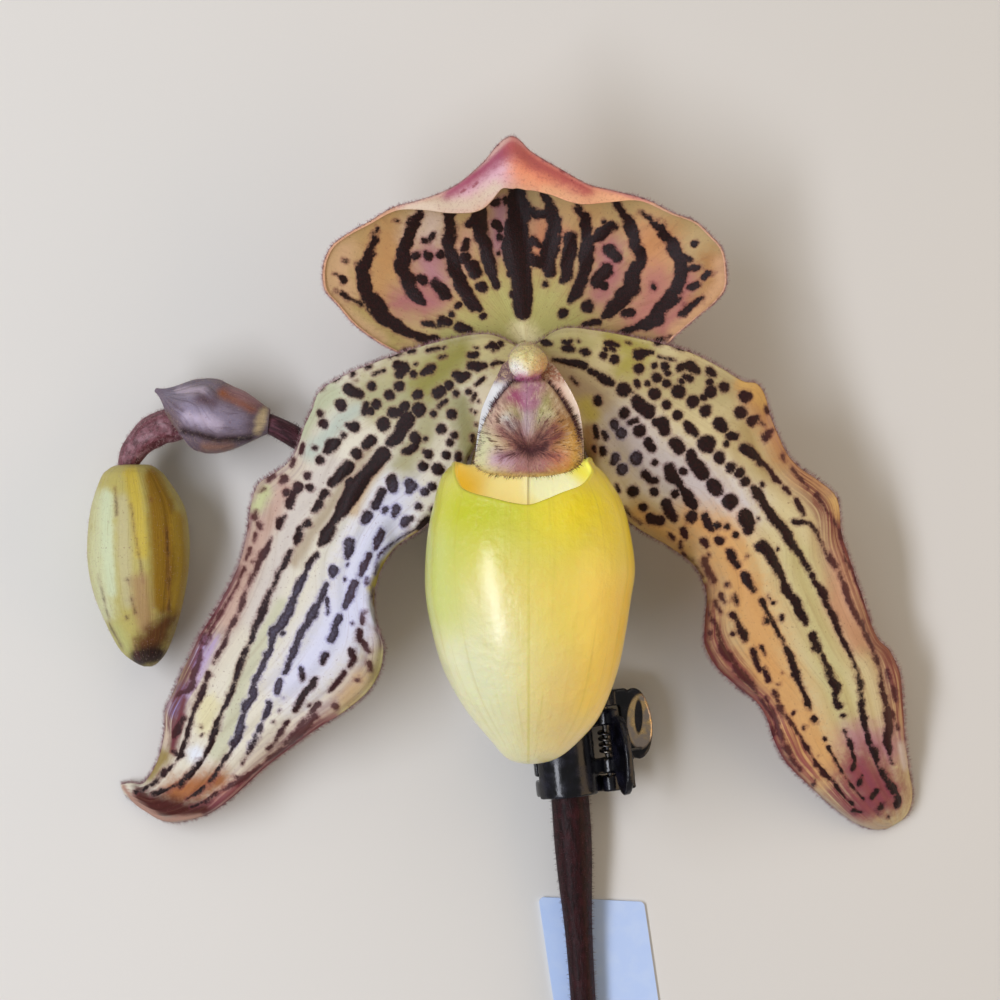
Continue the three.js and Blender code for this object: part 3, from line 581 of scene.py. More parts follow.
# %% The left petal's marks
LEFT_MARKS = [
    [(322, 388, 2.8)], [(335, 379, 2.8), (339, 378, 1.5)], [(353, 374, 3.1)],
    [(367, 368, 2), (370, 367, 1.8)], [(390, 358, 1.5), (393, 355, 1.5)],
    [(397, 356, 1), (403, 354, 1)], [(409, 352, 1.8), (415, 351, 1.5)],
    [(428, 351, 1.8), (439, 349, 1.5)], [(444, 349, 0.9), (446, 348, 0.8)],
    [(374, 375, 1.5), (379, 373, 1.7), (384, 371, 1.3)], [(357, 380, 0.9)],
    [(398, 366, 4.8), (405, 368, 5.1), (400, 374, 4.6)], [(416, 365, 1.1), (418, 364, 0.8)],
    [(414, 375, 3.6)], [(423, 374, 2.3), (430, 370, 4.6), (434, 368, 2.8)],
    [(441, 358, 1.5), (446, 357, 1.1)], [(475, 349, 1.1), (478, 349, 0.8)],
    [(470, 356, 2.8), (472, 356, 3.2), (476, 355, 2.8)],
    [(487, 348, 1.3), (492, 346, 3.2), (496, 348, 2.8)], [(493, 351, 1.8)], [(500, 345, 2.8)],
    [(471, 366, 3.8), (478, 367, 4.3), (485, 366, 2.3)],
    [(492, 365, 1.8), (495, 363, 1.8), (503, 363, 0.6)],
    [(456, 375, 3.6), (461, 378, 4.6), (467, 376, 3.1)], [(438, 393, 5.4), (442, 391, 4.8)],
    [(449, 386, 4.3)], [(476, 385, 1.3), (479, 382, 1.5), (484, 378, 0.9)], [(469, 392, 2.8)],
    [(475, 394, 1.5), (472, 400, 1.5)], [(456, 394, 3.2)], [(418, 395, 4.8)], [(400, 387, 5.1)],
    [(390, 396, 4.5)], [(372, 386, 4.6)], [(348, 388, 4.3), (353, 392, 4.3), (361, 394, 3.6)],
    [(342, 405, 5.4)], [(367, 405, 3.1), (365, 412, 3.3), (371, 411, 3.8)], [(377, 405, 4.6)],
    [(322, 414, 3.1)], [(324, 424, 4.1)], [(349, 426, 2.3), (355, 427, 4.6)], [(344, 435, 2.8)],
    [(337, 442, 3.6), (332, 445, 5.9), (329, 451, 3.8)], [(323, 460, 2.6)], [(384, 424, 6.6)],
    [(393, 413, 5.6), (400, 413, 4.6)], [(405, 407, 5.1)], [(419, 410, 6.9)],
    [(409, 418, 6.6), (403, 428, 6.6), (397, 438, 5.9), (391, 443, 5.1)],
    [(384, 454, 6.9), (375, 465, 5.6), (366, 474, 5.6), (358, 486, 6.4), (351, 497, 6.6),
     (344, 509, 5.6), (339, 515, 4.1), (333, 524, 3.1)], [(350, 482, 3.8)],
    [(372, 440, 4.6), (366, 445, 3.8)], [(357, 454, 5.1)],
    [(349, 466, 5.4), (344, 472, 4.8), (337, 479, 3.6), (332, 484, 3.1)],
    [(326, 493, 4.3), (323, 498, 2.6)], [(321, 504, 3.2)], [(434, 414, 3.3)],
    [(439, 407, 1.8), (446, 401, 1.8)], [(452, 414, 4.6)], [(471, 410, 0.8)], [(475, 412, 1.3)],
    [(478, 401, 1.1)], [(442, 429, 4.8)], [(454, 435, 3.6)], [(450, 442, 3.8)], [(476, 424, 1.1)],
    [(472, 435, 1.5), (472, 440, 1.5)], [(416, 438, 5.6)], [(425, 439, 2.6)],
    [(405, 451, 3.1), (409, 451, 3.6), (414, 447, 3.8)], [(446, 455, 3.8)],
    [(458, 454, 2.8), (458, 459, 3.1)], [(469, 459, 2.3), (471, 463, 2)],
    [(428, 454, 4.6), (425, 452, 1.8)], [(423, 466, 4.6)], [(438, 469, 5.9)],
    [(393, 477, 3.3), (392, 482, 5.4), (393, 488, 4.3)],
    [(409, 483, 4.1), (411, 486, 5.1), (409, 491, 3.1)], [(417, 486, 1.5)], [(432, 486, 3.8)],
    [(425, 492, 4.1)], [(383, 491, 3.3), (379, 497, 3.3), (375, 505, 3.6)],
    [(386, 509, 2.6), (385, 512, 1.8)], [(397, 508, 3.6), (394, 514, 3.1)], [(419, 507, 3.6)],
    [(433, 507, 1.3), (431, 509, 2)], [(368, 516, 4.8), (364, 521, 3.6)], [(406, 521, 5.4)],
    [(412, 519, 2)], [(427, 519, 3.1), (422, 524, 4.3), (418, 528, 2.3)], [(381, 529, 1.8)],
    [(304, 446, 2.8), (302, 452, 2.8)], [(316, 448, 2.3)], [(321, 460, 3.6)],
    [(294, 461, 2.3), (292, 466, 2)], [(273, 476, 2.6), (269, 481, 1.8)],
    [(264, 489, 0.9), (261, 492, 0.6)], [(285, 479, 3.6), (282, 483, 2)], [(309, 476, 4.1)],
    [(287, 493, 3.3)], [(299, 488, 5.1), (295, 494, 3.8), (291, 502, 4.1), (290, 506, 2.6)],
    [(311, 488, 3.1)], [(308, 487, 1.5)], [(286, 517, 1.8), (282, 521, 4.3), (280, 526, 2.6)],
    [(257, 511, 1), (255, 516, 3.1)], [(261, 524, 3.1), (262, 528, 1.3)],
    [(257, 534, 1.3), (255, 541, 1)], [(251, 548, 1.5), (250, 554, 2.2), (247, 559, 0.9)],
    [(254, 561, 1.9)],
    [(273, 538, 1), (267, 550, 3.1), (264, 555, 3.6), (261, 561, 2), (257, 571, 2.3),
     (252, 580, 1.8),
     (248, 589, 1.1), (244, 599, 1.3), (239, 612, 1.5), (234, 621, 1.9), (228, 631, 1.1),
     (223, 640, 0.9)], [(249, 524, 0.8), (248, 529, 0.6)],
    [(246, 568, 1), (243, 575, 1.5), (239, 583, 0.9), (231, 597, 0.9), (220, 616, 1)],
    [(327, 493, 4.1), (323, 497, 2.6)], [(320, 504, 4.3), (316, 510, 2.6)],
    [(309, 523, 3.3), (305, 527, 1.8)], [(301, 529, 2.8)],
    [(301, 534, 3.1), (299, 538, 4.3), (297, 543, 1.5)],
    [(292, 551, 3.1), (288, 559, 3.3), (284, 566, 2.2), (279, 573, 2.6), (277, 580, 1.8),
     (271, 591, 2.3), (267, 599, 1.7), (261, 612, 1.9), (258, 620, 1.7), (254, 632, 2.6),
     (253, 637, 1.5)],
    [(383, 454, 6.9), (373, 467, 5.4), (365, 476, 5.9), (358, 487, 6.9), (350, 496, 6.9),
     (342, 509, 5.9), (338, 518, 3.3)], [(351, 484, 4.3)],
    [(332, 527, 4.6), (327, 536, 5.6), (322, 543, 2.8)],
    [(318, 555, 2.3), (312, 561, 3.4), (307, 570, 2.6), (300, 583, 4.6), (297, 591, 3.4),
     (291, 605, 3.2), (288, 612, 2.3)], [(284, 619, 3.6), (277, 628, 4.3), (272, 635, 3.1)],
    [(284, 633, 2.6)], [(350, 542, 4.6), (349, 550, 4.6), (347, 557, 2.3)],
    [(335, 569, 4.6), (334, 574, 3.3)], [(348, 564, 1.3)],
    [(328, 584, 3.3), (323, 594, 2.9), (318, 605, 2.8), (314, 615, 3.7), (309, 622, 3.1),
     (304, 631, 2.4), (300, 639, 1.7)], [(328, 599, 1.8), (329, 606, 2.8), (329, 612, 2)],
    [(381, 531, 2.8), (378, 539, 4.2), (375, 547, 2.8)],
    [(369, 555, 3.3), (364, 566, 3.8), (360, 574, 2.3)], [(368, 578, 2), (367, 583, 2.8)],
    [(355, 583, 3.6), (351, 594, 4.3), (346, 605, 3.8)], [(346, 579, 1.8)],
    [(340, 617, 4.1), (336, 625, 3.1), (335, 633, 4.3), (331, 639, 3.3)],
    [(365, 611, 1.8), (364, 617, 3.3), (363, 622, 2.3)],
    [(372, 589, 0.9), (371, 599, 1), (375, 606, 0.9), (378, 619, 0.9), (378, 629, 0.8)],
    [(360, 631, 3.3), (360, 638, 4.1)], [(353, 622, 0.9)],
    [(374, 574, 0.6), (376, 562, 0.8), (379, 554, 0.8), (387, 546, 0.9), (399, 537, 0.9),
     (411, 531, 0.8), (419, 527, 0.6)],
    [(229, 600, 1.2), (221, 613, 1.5), (214, 626, 1.8), (207, 643, 1.5)],
    [(214, 616, 1.3), (208, 629, 1.8), (200, 644, 1.8)],
    [(244, 601, 1.5), (237, 616, 2.3), (231, 628, 2.1), (223, 648, 1.8), (215, 662, 1.8)],
    [(210, 674, 3.5), (207, 682, 2.6), (202, 694, 2.9), (196, 706, 2.3), (193, 717, 2.6),
     (190, 731, 3.2), (186, 744, 2.6), (183, 754, 3.2), (177, 763, 1.8), (168, 770, 2.2),
     (160, 780, 2.2), (146, 789, 1.9), (138, 792, 1.5)],
    [(202, 650, 1.8), (197, 667, 2.3), (193, 676, 2.9), (194, 685, 5), (189, 691, 3.2),
     (182, 692, 1.8), (174, 701, 1.5)],
    [(185, 717, 1.8), (179, 726, 2.9), (177, 732, 4.4), (175, 736, 3.2)],
    [(174, 751, 2.1), (179, 755, 1.8)],
    [(268, 601, 2.3), (262, 615, 2.9), (255, 630, 3.2), (252, 640, 1.8), (247, 650, 2.9),
     (241, 665, 3.4), (237, 678, 2.8), (232, 692, 3.2), (227, 703, 2.3), (223, 712, 2.9),
     (217, 728, 2.9), (214, 735, 2.2), (209, 747, 2.9), (203, 759, 2.2), (192, 773, 1.9),
     (179, 785, 1.9), (168, 789, 1.9), (154, 794, 2.1)],
    [(295, 601, 2.9), (289, 612, 4), (281, 623, 5.6), (274, 634, 3.5), (271, 648, 2.5),
     (265, 660, 3.7), (261, 673, 2.8), (256, 682, 3.4), (253, 696, 4.5), (246, 707, 5.1),
     (244, 717, 2.6), (240, 731, 3.5), (236, 739, 3.8), (231, 750, 2.6), (223, 764, 3.5),
     (218, 772, 2.3), (208, 785, 2.2), (199, 792, 2.6), (189, 797, 2.1)], [(283, 633, 3.2)],
    [(317, 606, 3.7), (308, 622, 3.2), (300, 637, 2.9), (295, 648, 3.7), (289, 662, 3.4),
     (285, 672, 2.3)], [(281, 681, 3.8), (278, 691, 3.5)],
    [(270, 703, 3.2), (264, 717, 2.5), (261, 728, 2.5), (253, 741, 2.5), (248, 753, 1.9),
     (243, 763, 1.9)], [(237, 777, 1.6)], [(225, 788, 2.1)], [(302, 669, 2.9), (302, 679, 2.1)],
    [(317, 678, 3.8), (310, 687, 4.4), (302, 698, 2.6), (296, 709, 2.1)],
    [(288, 720, 2.9), (283, 729, 3.2), (275, 739, 1.8), (267, 748, 1.3)], [(283, 697, 1)],
    [(281, 710, 1)], [(274, 722, 1.3)], [(202, 726, 1.3)], [(203, 734, 0.9)],
    [(319, 703, 2.9), (309, 716, 2.6), (303, 723, 2.6), (293, 735, 2.3), (281, 747, 1.8),
     (267, 758, 1.9), (252, 771, 1.8), (237, 782, 1.8), (223, 791, 1.8), (208, 800, 1.9),
     (193, 805, 2.1)], [(315, 715, 3.5), (303, 731, 2.9), (289, 743, 2.6), (274, 754, 1.8)],
    [(310, 704, 2.1)], [(352, 650, 3.2), (354, 658, 4), (350, 666, 3)],
    [(362, 640, 3), (369, 650, 3)], [(369, 662, 2.4), (370, 670, 2)],
    [(345, 672, 2.6), (338, 680, 3.4), (330, 690, 2.6)],
    [(358, 680, 2.4)], [(336, 706, 3.4)], [(326, 654, 3.4), (322, 662, 2.6)],
]
# A wash is a colour, how far it fades out, and its stroke.

# %% The left petal's colours
LEFT_WASHES = [
    ("#B4AB7C", 34, [(505, 350, 12), (460, 356, 16), (420, 372, 18), (385, 396, 14)]),
    ("#CCC2B8", 16, [(331, 465, 5), (296, 516, 6), (258, 618, 6)]),
    # Painted reflection: a lavender-white sheen of the window along the middle of the petal.
    ("#D2D2E4", 32, [(398, 492, 6), (390, 510, 10), (372, 550, 16), (352, 610, 16), (322, 650, 12),
                     (292, 684, 6)]),
    ("#B4A48C", 8, [(369, 450, 3), (354, 472, 4), (332, 504, 4), (309, 537, 4), (296, 561, 3)]),
    ("#C2AA8A", 7, [(380, 465, 2), (367, 482, 3), (354, 511, 3)]),
    ("#C4C2A6", 8, [(282, 605, 4), (264, 638, 5), (242, 680, 6), (231, 729, 6), (217, 751, 5)]),
    ("#D9D0A6", 11, [(209, 705, 7), (206, 725, 5)]),
    ("#AAA67E", 22, [(448, 405, 6), (405, 398, 8), (372, 396, 7)]),
    ("#B6BA9A", 15, [(334, 394, 8), (314, 408, 6), (304, 430, 4)]),
    ("#B6BEB0", 11, [(357, 410, 3), (343, 420, 5), (325, 440, 5), (312, 452, 4)]),
    ("#A8A27C", 16, [(432, 408, 5), (424, 432, 8), (404, 464, 6)]),
    ("#8E8844", 18, [(462, 352, 6), (446, 366, 8), (424, 386, 7)]),
    ("#C0B482", 20, [(508, 348, 8), (489, 345, 6)]),
    # Painted shade: grey-green where the petal curves away from the light.
    ("#8E8C64", 14, [(462, 404, 4), (466, 430, 7), (468, 452, 5)]),
    ("#BFA090", 12, [(285, 490, 4), (271, 518, 5), (247, 568, 6), (228, 619, 5)]),
    ("#BDC08E", 8, [(266, 492, 3), (258, 506, 3)]),
    ("#B7A2C2", 7, [(214, 640, 3), (206, 656, 4), (198, 674, 4), (178, 706, 6)], "streaks"),
    ("#B9A57A", 7, [(205, 636, 2), (192, 660, 3), (176, 694, 2)]),
    ("#DFE2E8", 9, [(197, 754, 5)]),
    ("#CDC48C", 10, [(383, 655, 3), (378, 680, 4), (362, 700, 4), (340, 716, 3)]),
    ("#C0A074", 16, [(360, 680, 1), (346, 698, 1)]),
    ("#9E6E68", 8, [(334, 716, 3), (302, 742, 4), (270, 768, 4), (238, 791, 4), (205, 808, 4)]),
    ("#A493BE", 6, [(206, 638, 2), (196, 664, 3)]),
    ("#9688B6", 6, [(184, 688, 3), (177, 712, 4)]),
    ("#6A3038", 5, [(186, 700, 1.5), (182, 716, 2), (176, 734, 3), (173, 750, 2)]),
    ("#6E2E3C", 12, [(322, 728, 3), (290, 752, 4), (260, 776, 4), (232, 797, 4), (200, 815, 3)],
     "streaks"),
    ("#6A3E44", 9, [(236, 570, 2), (222, 604, 3), (196, 650, 3), (180, 690, 3), (172, 725, 3)],
     "streaks"),
    ("#94804C", 9, [(164, 756, 5), (150, 775, 4)]),
    ("#A0643A", 16, [(218, 778, 5), (198, 786, 7), (178, 792, 9)]),
    ("#44120C", 10, [(140, 796, 4), (158, 805, 8), (184, 810, 7), (204, 807, 3)]),
    ("#A88272", 3, [(124, 787, 1), (138, 803, 1.5), (166, 820, 1.5), (200, 815, 1.5)]),
    ("#B5A24C", 4, [(376, 604, 2), (373, 588, 4), (384, 566, 5), (404, 544, 4), (424, 529, 3)]),
]

# %% The left petal's outline
# Strokes of the painted sheen on the left petal, which stands for the window's reflection on its
# marks.
LEFT_SHEEN = [[(414, 484, 8), (394, 508, 10), (374, 545, 22), (345, 580, 26), (318, 612, 30),
              (290, 642, 26)], [(270, 680, 16), (240, 735, 9)]]
LEFT_RUNGS = [
    [(524, 350, 21.4), (524, 370, 21.6)], [(495, 336, 22.0), (499, 400, 22.2)],
    [(472, 335, 21.8), (487, 424, 22.1)], [(438, 342, 21.4), (474, 447, 22.0)],
    [(404, 352, 20.9), (458, 478, 21.6)], [(377, 362, 20.4), (442, 505, 21.2)],
    [(345, 376, 19.6), (423, 527, 21.0)], [(320, 391, 19.0), (404, 540, 20.8)],
    [(312, 410, 18.6), (395, 547, 20.7)], [(304, 428, 18.2), (388, 556, 20.6)],
    [(296, 452, 17.4), (380, 570, 20.3)], [(286, 465, 17.0), (377, 580, 20.1)],
    [(272, 475, 16.6), (374, 592, 19.9)], [(259, 484, 15.8), (374, 610, 19.4)],
    [(252, 505, 14.9), (378, 628, 18.8)], [(245, 543, 14.0), (383, 648, 18.0)],
    [(235, 573, 12.8), (379, 672, 16.8)], [(218, 607, 11.6), (367, 692, 15.6)],
    [(201, 634, 10.3), (343, 712, 14.1)], [(188, 661, 9.0), (316, 729, 12.6)],
    [(173, 692, 7.7), (289, 749, 11.0)], [(165, 712, 6.6), (262, 770, 9.4)],
    [(165, 737, 5.4), (232, 797, 7.8)], [(157, 763, 4.2), (205, 815, 6.2)],
    [(144, 783, 2.2), (170, 822, 3.6)], [(130, 783, 1.0), (147, 811, 1.8)],
    [(120.5, 785, 0.5), (125, 794, 0.6)],
]

# %% The right petal's marks
RIGHT_MARKS = [
    [(541, 341, 0.9), (547, 344, 3.3), (552, 345, 1.3)],
    [(564, 343, 1.5), (567, 344, 1.9), (571, 342, 1.5)],
    [(554, 360, 1.4), (562, 361.5, 1.9), (570, 363, 2.4), (578, 364, 3), (584, 366, 3.4)],
    [(590, 371, 2.8), (596, 374, 3)], [(600, 377, 3.4), (607, 381, 3.8), (612, 384, 2.4)],
    [(572, 378, 1), (577, 384, 1.1)],
    [(564, 349, 2), (569, 349, 3.3), (573, 350, 2.2)], [(569, 346, 2.3)],
    [(581, 352, 2), (585, 353, 3.4), (588, 353, 1.8)], [(578, 342, 0.9)],
    [(606, 344, 2), (610, 345, 2.8), (617, 346, 1.7)], [(605, 350, 2.4)],
    [(611, 349, 2.6), (614, 351, 1.5)], [(603, 356, 3.6)], [(614, 360, 4.3)],
    [(627, 343, 1), (629, 344, 1.3)], [(654, 341, 1.5), (657, 343, 3.1), (662, 344, 1)],
    [(673, 346, 1.1), (683, 350, 0.9)],
    [(635, 353, 2.6), (638, 356, 5.1), (640, 353, 3.1), (648, 353, 2.3), (652, 353, 1.7)],
    [(638, 369, 4.8)], [(658, 357, 0.6), (666, 359, 0.8), (675, 360, 0.6)], [(654, 366, 2.8)],
    [(665, 367, 4.2)], [(667, 373, 3.4)],
    [(679, 368, 3.6), (684, 366, 2.8), (689, 366, 5.4), (696, 372, 3.4)],
    [(709, 372, 4.8), (713, 375, 2.8)], [(656, 378, 4.6)], [(666, 384, 3.8)], [(647, 384, 2.7)],
    [(636, 383, 2.6), (638, 386, 2.4)], [(681, 382, 2.8)], [(684, 377, 2), (689, 379, 3.3)],
    [(709, 383, 3.1)], [(723, 388, 5.1)], [(678, 392, 6.6)], [(710, 392, 5.7)], [(703, 398, 3.3)],
    [(654, 394, 6.1)], [(692, 402, 5.6)], [(623, 390, 6.6)], [(632, 393, 0.9)],
    [(635, 400, 4.3), (638, 404, 6.4), (648, 412, 6.4)], [(651, 409, 3.8)], [(666, 405, 4.6)],
    [(705, 411, 5.6)], [(597, 399, 3.6), (598, 402, 3.3)], [(624, 413, 5.1)],
    [(629, 423, 2.2), (636, 420, 2.6)], [(614, 423, 3.8), (615, 427, 2.8)], [(621, 433, 5.1)],
    [(639, 431, 5.7)], [(677, 416, 4.6)], [(685, 424, 3.1), (690, 429, 4.2), (696, 434, 2.6)],
    [(718, 423, 5.1), (724, 428, 4.1)], [(730, 436, 4.8), (735, 437, 2.8)],
    [(656, 423, 4.6), (662, 423, 6.4), (664, 430, 5.6)], [(595, 427, 1.9), (597, 436, 2)],
    [(604, 433, 2.3), (606, 437, 3.1)], [(726, 444, 2.6)], [(648, 443, 4.8), (651, 447, 4.6)],
    [(675, 443, 6.1), (679, 448, 5.9)], [(706, 444, 8.2)], [(594, 447, 1.7), (595, 451, 1.3)],
    [(603, 449, 2.8), (603, 453, 2.6)],
    [(691, 454, 4.8), (691, 460, 5.1), (697, 467, 5.9), (703, 474, 5.9)],
    [(616, 457, 3.8), (613, 462, 2.6)], [(636, 458, 6.1)], [(622, 469, 5.1)], [(654, 463, 2.9)],
    [(669, 468, 5.4), (671, 476, 5.6), (678, 483, 3.8), (682, 488, 2.8)], [(683, 471, 3.7)],
    [(719, 458, 5.4)], [(730, 467, 4.5)], [(739, 473, 4.3)],
    [(645, 474, 4.1), (650, 480, 3.6), (655, 480, 3.1)], [(616, 485, 1.5), (618, 491, 1.4)],
    [(633, 491, 5.5)], [(654, 492, 4.2)], [(675, 493, 3.8)], [(713, 486, 6.1), (717, 491, 5.6)],
    [(685, 493, 3.1), (688, 498, 5.4), (693, 504, 4.1)],
    [(666, 504, 5.4), (670, 509, 2.6), (674, 516, 3.8)], [(643, 507, 3.8)], [(729, 502, 7.1)],
    [(651, 518, 5.6), (661, 520, 4.8)], [(691, 517, 6.4)], [(704, 517, 4.3), (708, 522, 3.6)],
    [(625, 507, 0.9), (632, 516, 0.9), (641, 522, 0.9)], [(744, 397, 5.6), (748, 396, 3.1)],
    [(740, 413, 6.4)], [(750, 421, 4.8), (755, 418, 2.6)],
    [(772, 430, 1.5), (768, 434, 3.1), (766, 439, 2.8), (762, 436, 1.3)],
    [(765, 407, 1.5), (767, 412, 1.8)], [(756, 421, 0.8), (761, 424, 1), (765, 426, 0.8)],
    [(743, 448, 4.6), (749, 452, 4.3), (755, 457, 3.6)],
    [(758, 462, 2.6), (766, 467, 3.1), (770, 473, 2.6), (774, 479, 3.3), (779, 482, 1.3)],
    [(784, 488, 2.3), (788, 493, 2.3)], [(795, 501, 1.9), (798, 508, 2.2), (803, 515, 1.5)],
    [(719, 457, 5.1)], [(730, 468, 4.5)], [(738, 473, 4.1)], [(744, 482, 4.3)],
    [(753, 489, 3.8), (757, 494, 5.1), (762, 501, 4.3), (765, 508, 3.3), (769, 513, 4.3),
     (772, 518, 4.6), (777, 523, 3.8), (782, 528, 4.3), (786, 535, 4.6), (789, 541, 3.3),
     (793, 547, 3.6), (798, 554, 3.8), (803, 561, 3.4), (808, 569, 2.6)],
    [(711, 484, 5.4), (716, 490, 5.9)], [(730, 502, 7.4)],
    [(744, 515, 6.6), (747, 523, 7.1), (748, 529, 5.4)],
    [(760, 546, 6.1), (765, 549, 5.6), (770, 556, 4.1), (774, 564, 4.8), (777, 570, 4.3)],
    [(679, 483, 3.3), (683, 489, 2.3), (686, 494, 4.3), (690, 501, 5.6), (694, 506, 3.3)],
    [(675, 493, 4.1)], [(666, 505, 5.4), (672, 515, 4.1), (675, 519, 2.3)],
    [(704, 517, 3.3), (706, 522, 3.8), (711, 528, 4.2)], [(717, 526, 3.8)], [(726, 527, 2.9)],
    [(735, 535, 2.9)], [(719, 540, 5.1)], [(729, 551, 4.1), (732, 559, 5.1), (737, 565, 4.3)],
    [(683, 531, 4.5), (687, 537, 1.5)], [(703, 541, 4), (706, 546, 2)], [(708, 554, 1.9)],
    [(702, 559, 2.3), (705, 565, 2.8)], [(670, 534, 1.7), (674, 539, 1)],
    [(680, 542, 1.7), (681, 547, 1)], [(662, 520, 3.1)],
    [(793, 521, 3.2), (802, 522, 1.7), (808, 524, 1.4), (814, 531, 2.4), (819, 540, 2.2),
     (823, 549, 1.9), (828, 558, 1.7), (835, 568, 2.3)],
    [(791, 468, 0.9), (798, 478, 1.3), (807, 489, 0.8)],
    [(815, 496, 2.8), (818, 501, 1.3), (826, 512, 1), (833, 521, 1.1), (839, 531, 1.4),
     (842, 546, 1.4), (845, 561, 1.1)], [(781, 454, 1.7), (783, 461, 1.1)], [(761, 484, 1.8)],
    [(758, 518, 1.5)], [(747, 556, 1.1)], [(777, 549, 1.5)],
    [(767, 551, 5.1), (772, 562, 4.6), (777, 571, 4.8), (782, 580, 4.3), (785, 589, 5.7),
     (791, 597, 5.5), (796, 605, 5.7), (801, 616, 5.7), (804, 622, 4.1)],
    [(812, 635, 4.8), (815, 645, 6.4), (820, 653, 3.2), (824, 663, 3.7), (829, 673, 4.8),
     (831, 681, 3.6), (835, 686, 4.8), (835, 695, 2.9), (838, 705, 4.8)], [(842, 714, 2.6)],
    [(811, 575, 3.6), (816, 586, 3.4), (822, 593, 4.5), (825, 603, 2.6), (832, 616, 2.9),
     (837, 628, 2.7), (841, 638, 1.9), (847, 650, 2.7), (852, 660, 2.2), (856, 673, 2.4),
     (859, 686, 2.2), (860, 696, 2.7), (861, 706, 3.4), (862, 718, 2.6)],
    [(828, 553, 1.9), (836, 566, 1.9), (842, 581, 1.9), (847, 595, 2.4), (852, 608, 2.2),
     (859, 622, 2.4), (864, 635, 2.2), (870, 648, 1.7), (876, 662, 1.9)],
    [(847, 562, 1.4), (855, 579, 1.4), (862, 595, 1.7), (871, 617, 1.1), (879, 635, 1.4)],
    [(744, 574, 5.1), (748, 582, 4), (752, 590, 3.2)],
    [(761, 601, 3.4), (764, 608, 2.6), (769, 616, 1.7), (776, 630, 1.9), (781, 639, 2.2),
     (782, 644, 1.7), (788, 653, 2.7), (792, 663, 2.4), (795, 673, 4), (800, 685, 2.9),
     (804, 695, 2.9), (808, 704, 3.2), (809, 709, 2.3)], [(765, 621, 4)], [(746, 556, 1.4)],
    [(768, 595, 1.7), (770, 598, 0.9)], [(773, 602, 1.1)], [(781, 615, 1), (782, 619, 1)],
    [(761, 646, 1.9), (764, 654, 1.1)], [(781, 672, 1.5)], [(778, 683, 1.1)],
    [(703, 560, 2.8), (708, 571, 2.3), (713, 580, 2.6)], [(722, 595, 2.8), (725, 601, 2.3)],
    [(728, 584, 3.3)], [(734, 595, 2.3), (736, 604, 1.5)],
    [(732, 614, 3.3), (736, 622, 2.8), (742, 634, 4.1), (745, 640, 2.6)], [(732, 633, 1.7)],
    [(751, 649, 3.2), (755, 659, 2.8), (759, 669, 2.8)], [(763, 667, 1.5), (768, 678, 3.2)],
    [(774, 690, 2.8), (778, 702, 2.8), (784, 715, 2.2)], [(716, 602, 2.6), (720, 612, 1.7)],
    [(711, 614, 1.3), (716, 628, 1.8), (720, 642, 3.1), (722, 650, 4.2), (731, 660, 4.5),
     (737, 669, 4.3), (745, 679, 3.6), (751, 683, 2.8), (757, 692, 2.3), (764, 702, 1.5),
     (772, 715, 1.5)], [(710, 632, 2.2), (711, 638, 1.4)],
    [(683, 553, 0.8), (693, 561, 1), (703, 576, 0.8)], [(842, 714, 2.2)],
    [(845, 729, 2.4), (847, 737, 1.5), (851, 747, 2.4), (854, 760, 2.2), (851, 769, 1.7)],
    [(863, 718, 3.2), (865, 729, 2.7), (868, 742, 2.9), (874, 751, 3.2), (877, 764, 1.7),
     (884, 778, 2.2), (892, 788, 3.3), (897, 798, 3.6), (896, 805, 2.2)],
    [(873, 654, 1.8), (878, 669, 2.2), (880, 685, 2.9), (883, 697, 2.4), (886, 710, 3.6),
     (888, 722, 5.4), (887, 733, 5.4), (886, 743, 3.6), (889, 755, 2.3), (891, 762, 1.7)],
    [(887, 671, 1.5), (891, 683, 2), (895, 699, 1.9)], [(891, 711, 1.5), (896, 727, 2)],
    [(814, 718, 3.7)], [(824, 738, 2.9)],
    [(827, 747, 2.4), (830, 752, 1.4), (835, 761, 1.3), (840, 769, 1.7), (845, 778, 1.4),
     (854, 789, 1.7), (863, 798, 2.3)],
    [(775, 690, 2.3), (778, 700, 1.7), (785, 713, 1.7), (791, 724, 1.7), (801, 739, 1.9),
     (809, 752, 2.4), (817, 765, 3.1), (824, 774, 3.7), (832, 780, 2.8), (838, 788, 2.3),
     (846, 797, 2.6), (852, 802, 2.2)],
    [(766, 696, 1.1), (772, 709, 1.4), (776, 722, 2.2), (780, 732, 2.6), (785, 746, 3.1),
     (792, 759, 3.4), (800, 769, 2.6)], [(772, 722, 2.2), (774, 734, 2.8)],
    [(814, 778, 1.5), (813, 785, 1.3)], [(792, 714, 1.1), (794, 711, 0.8)], [(803, 727, 1.7)],
    [(818, 755, 1.3)], [(781, 672, 1.4)], [(779, 683, 1.1)], [(853, 809, 1.1), (861, 810, 1.1)],
    [(877, 789, 1.5), (870, 798, 1.8)], [(861, 775, 1.8), (859, 783, 1.5)],
    [(882, 805, 3.3), (877, 811, 2)], [(888, 815, 2.6)],
]

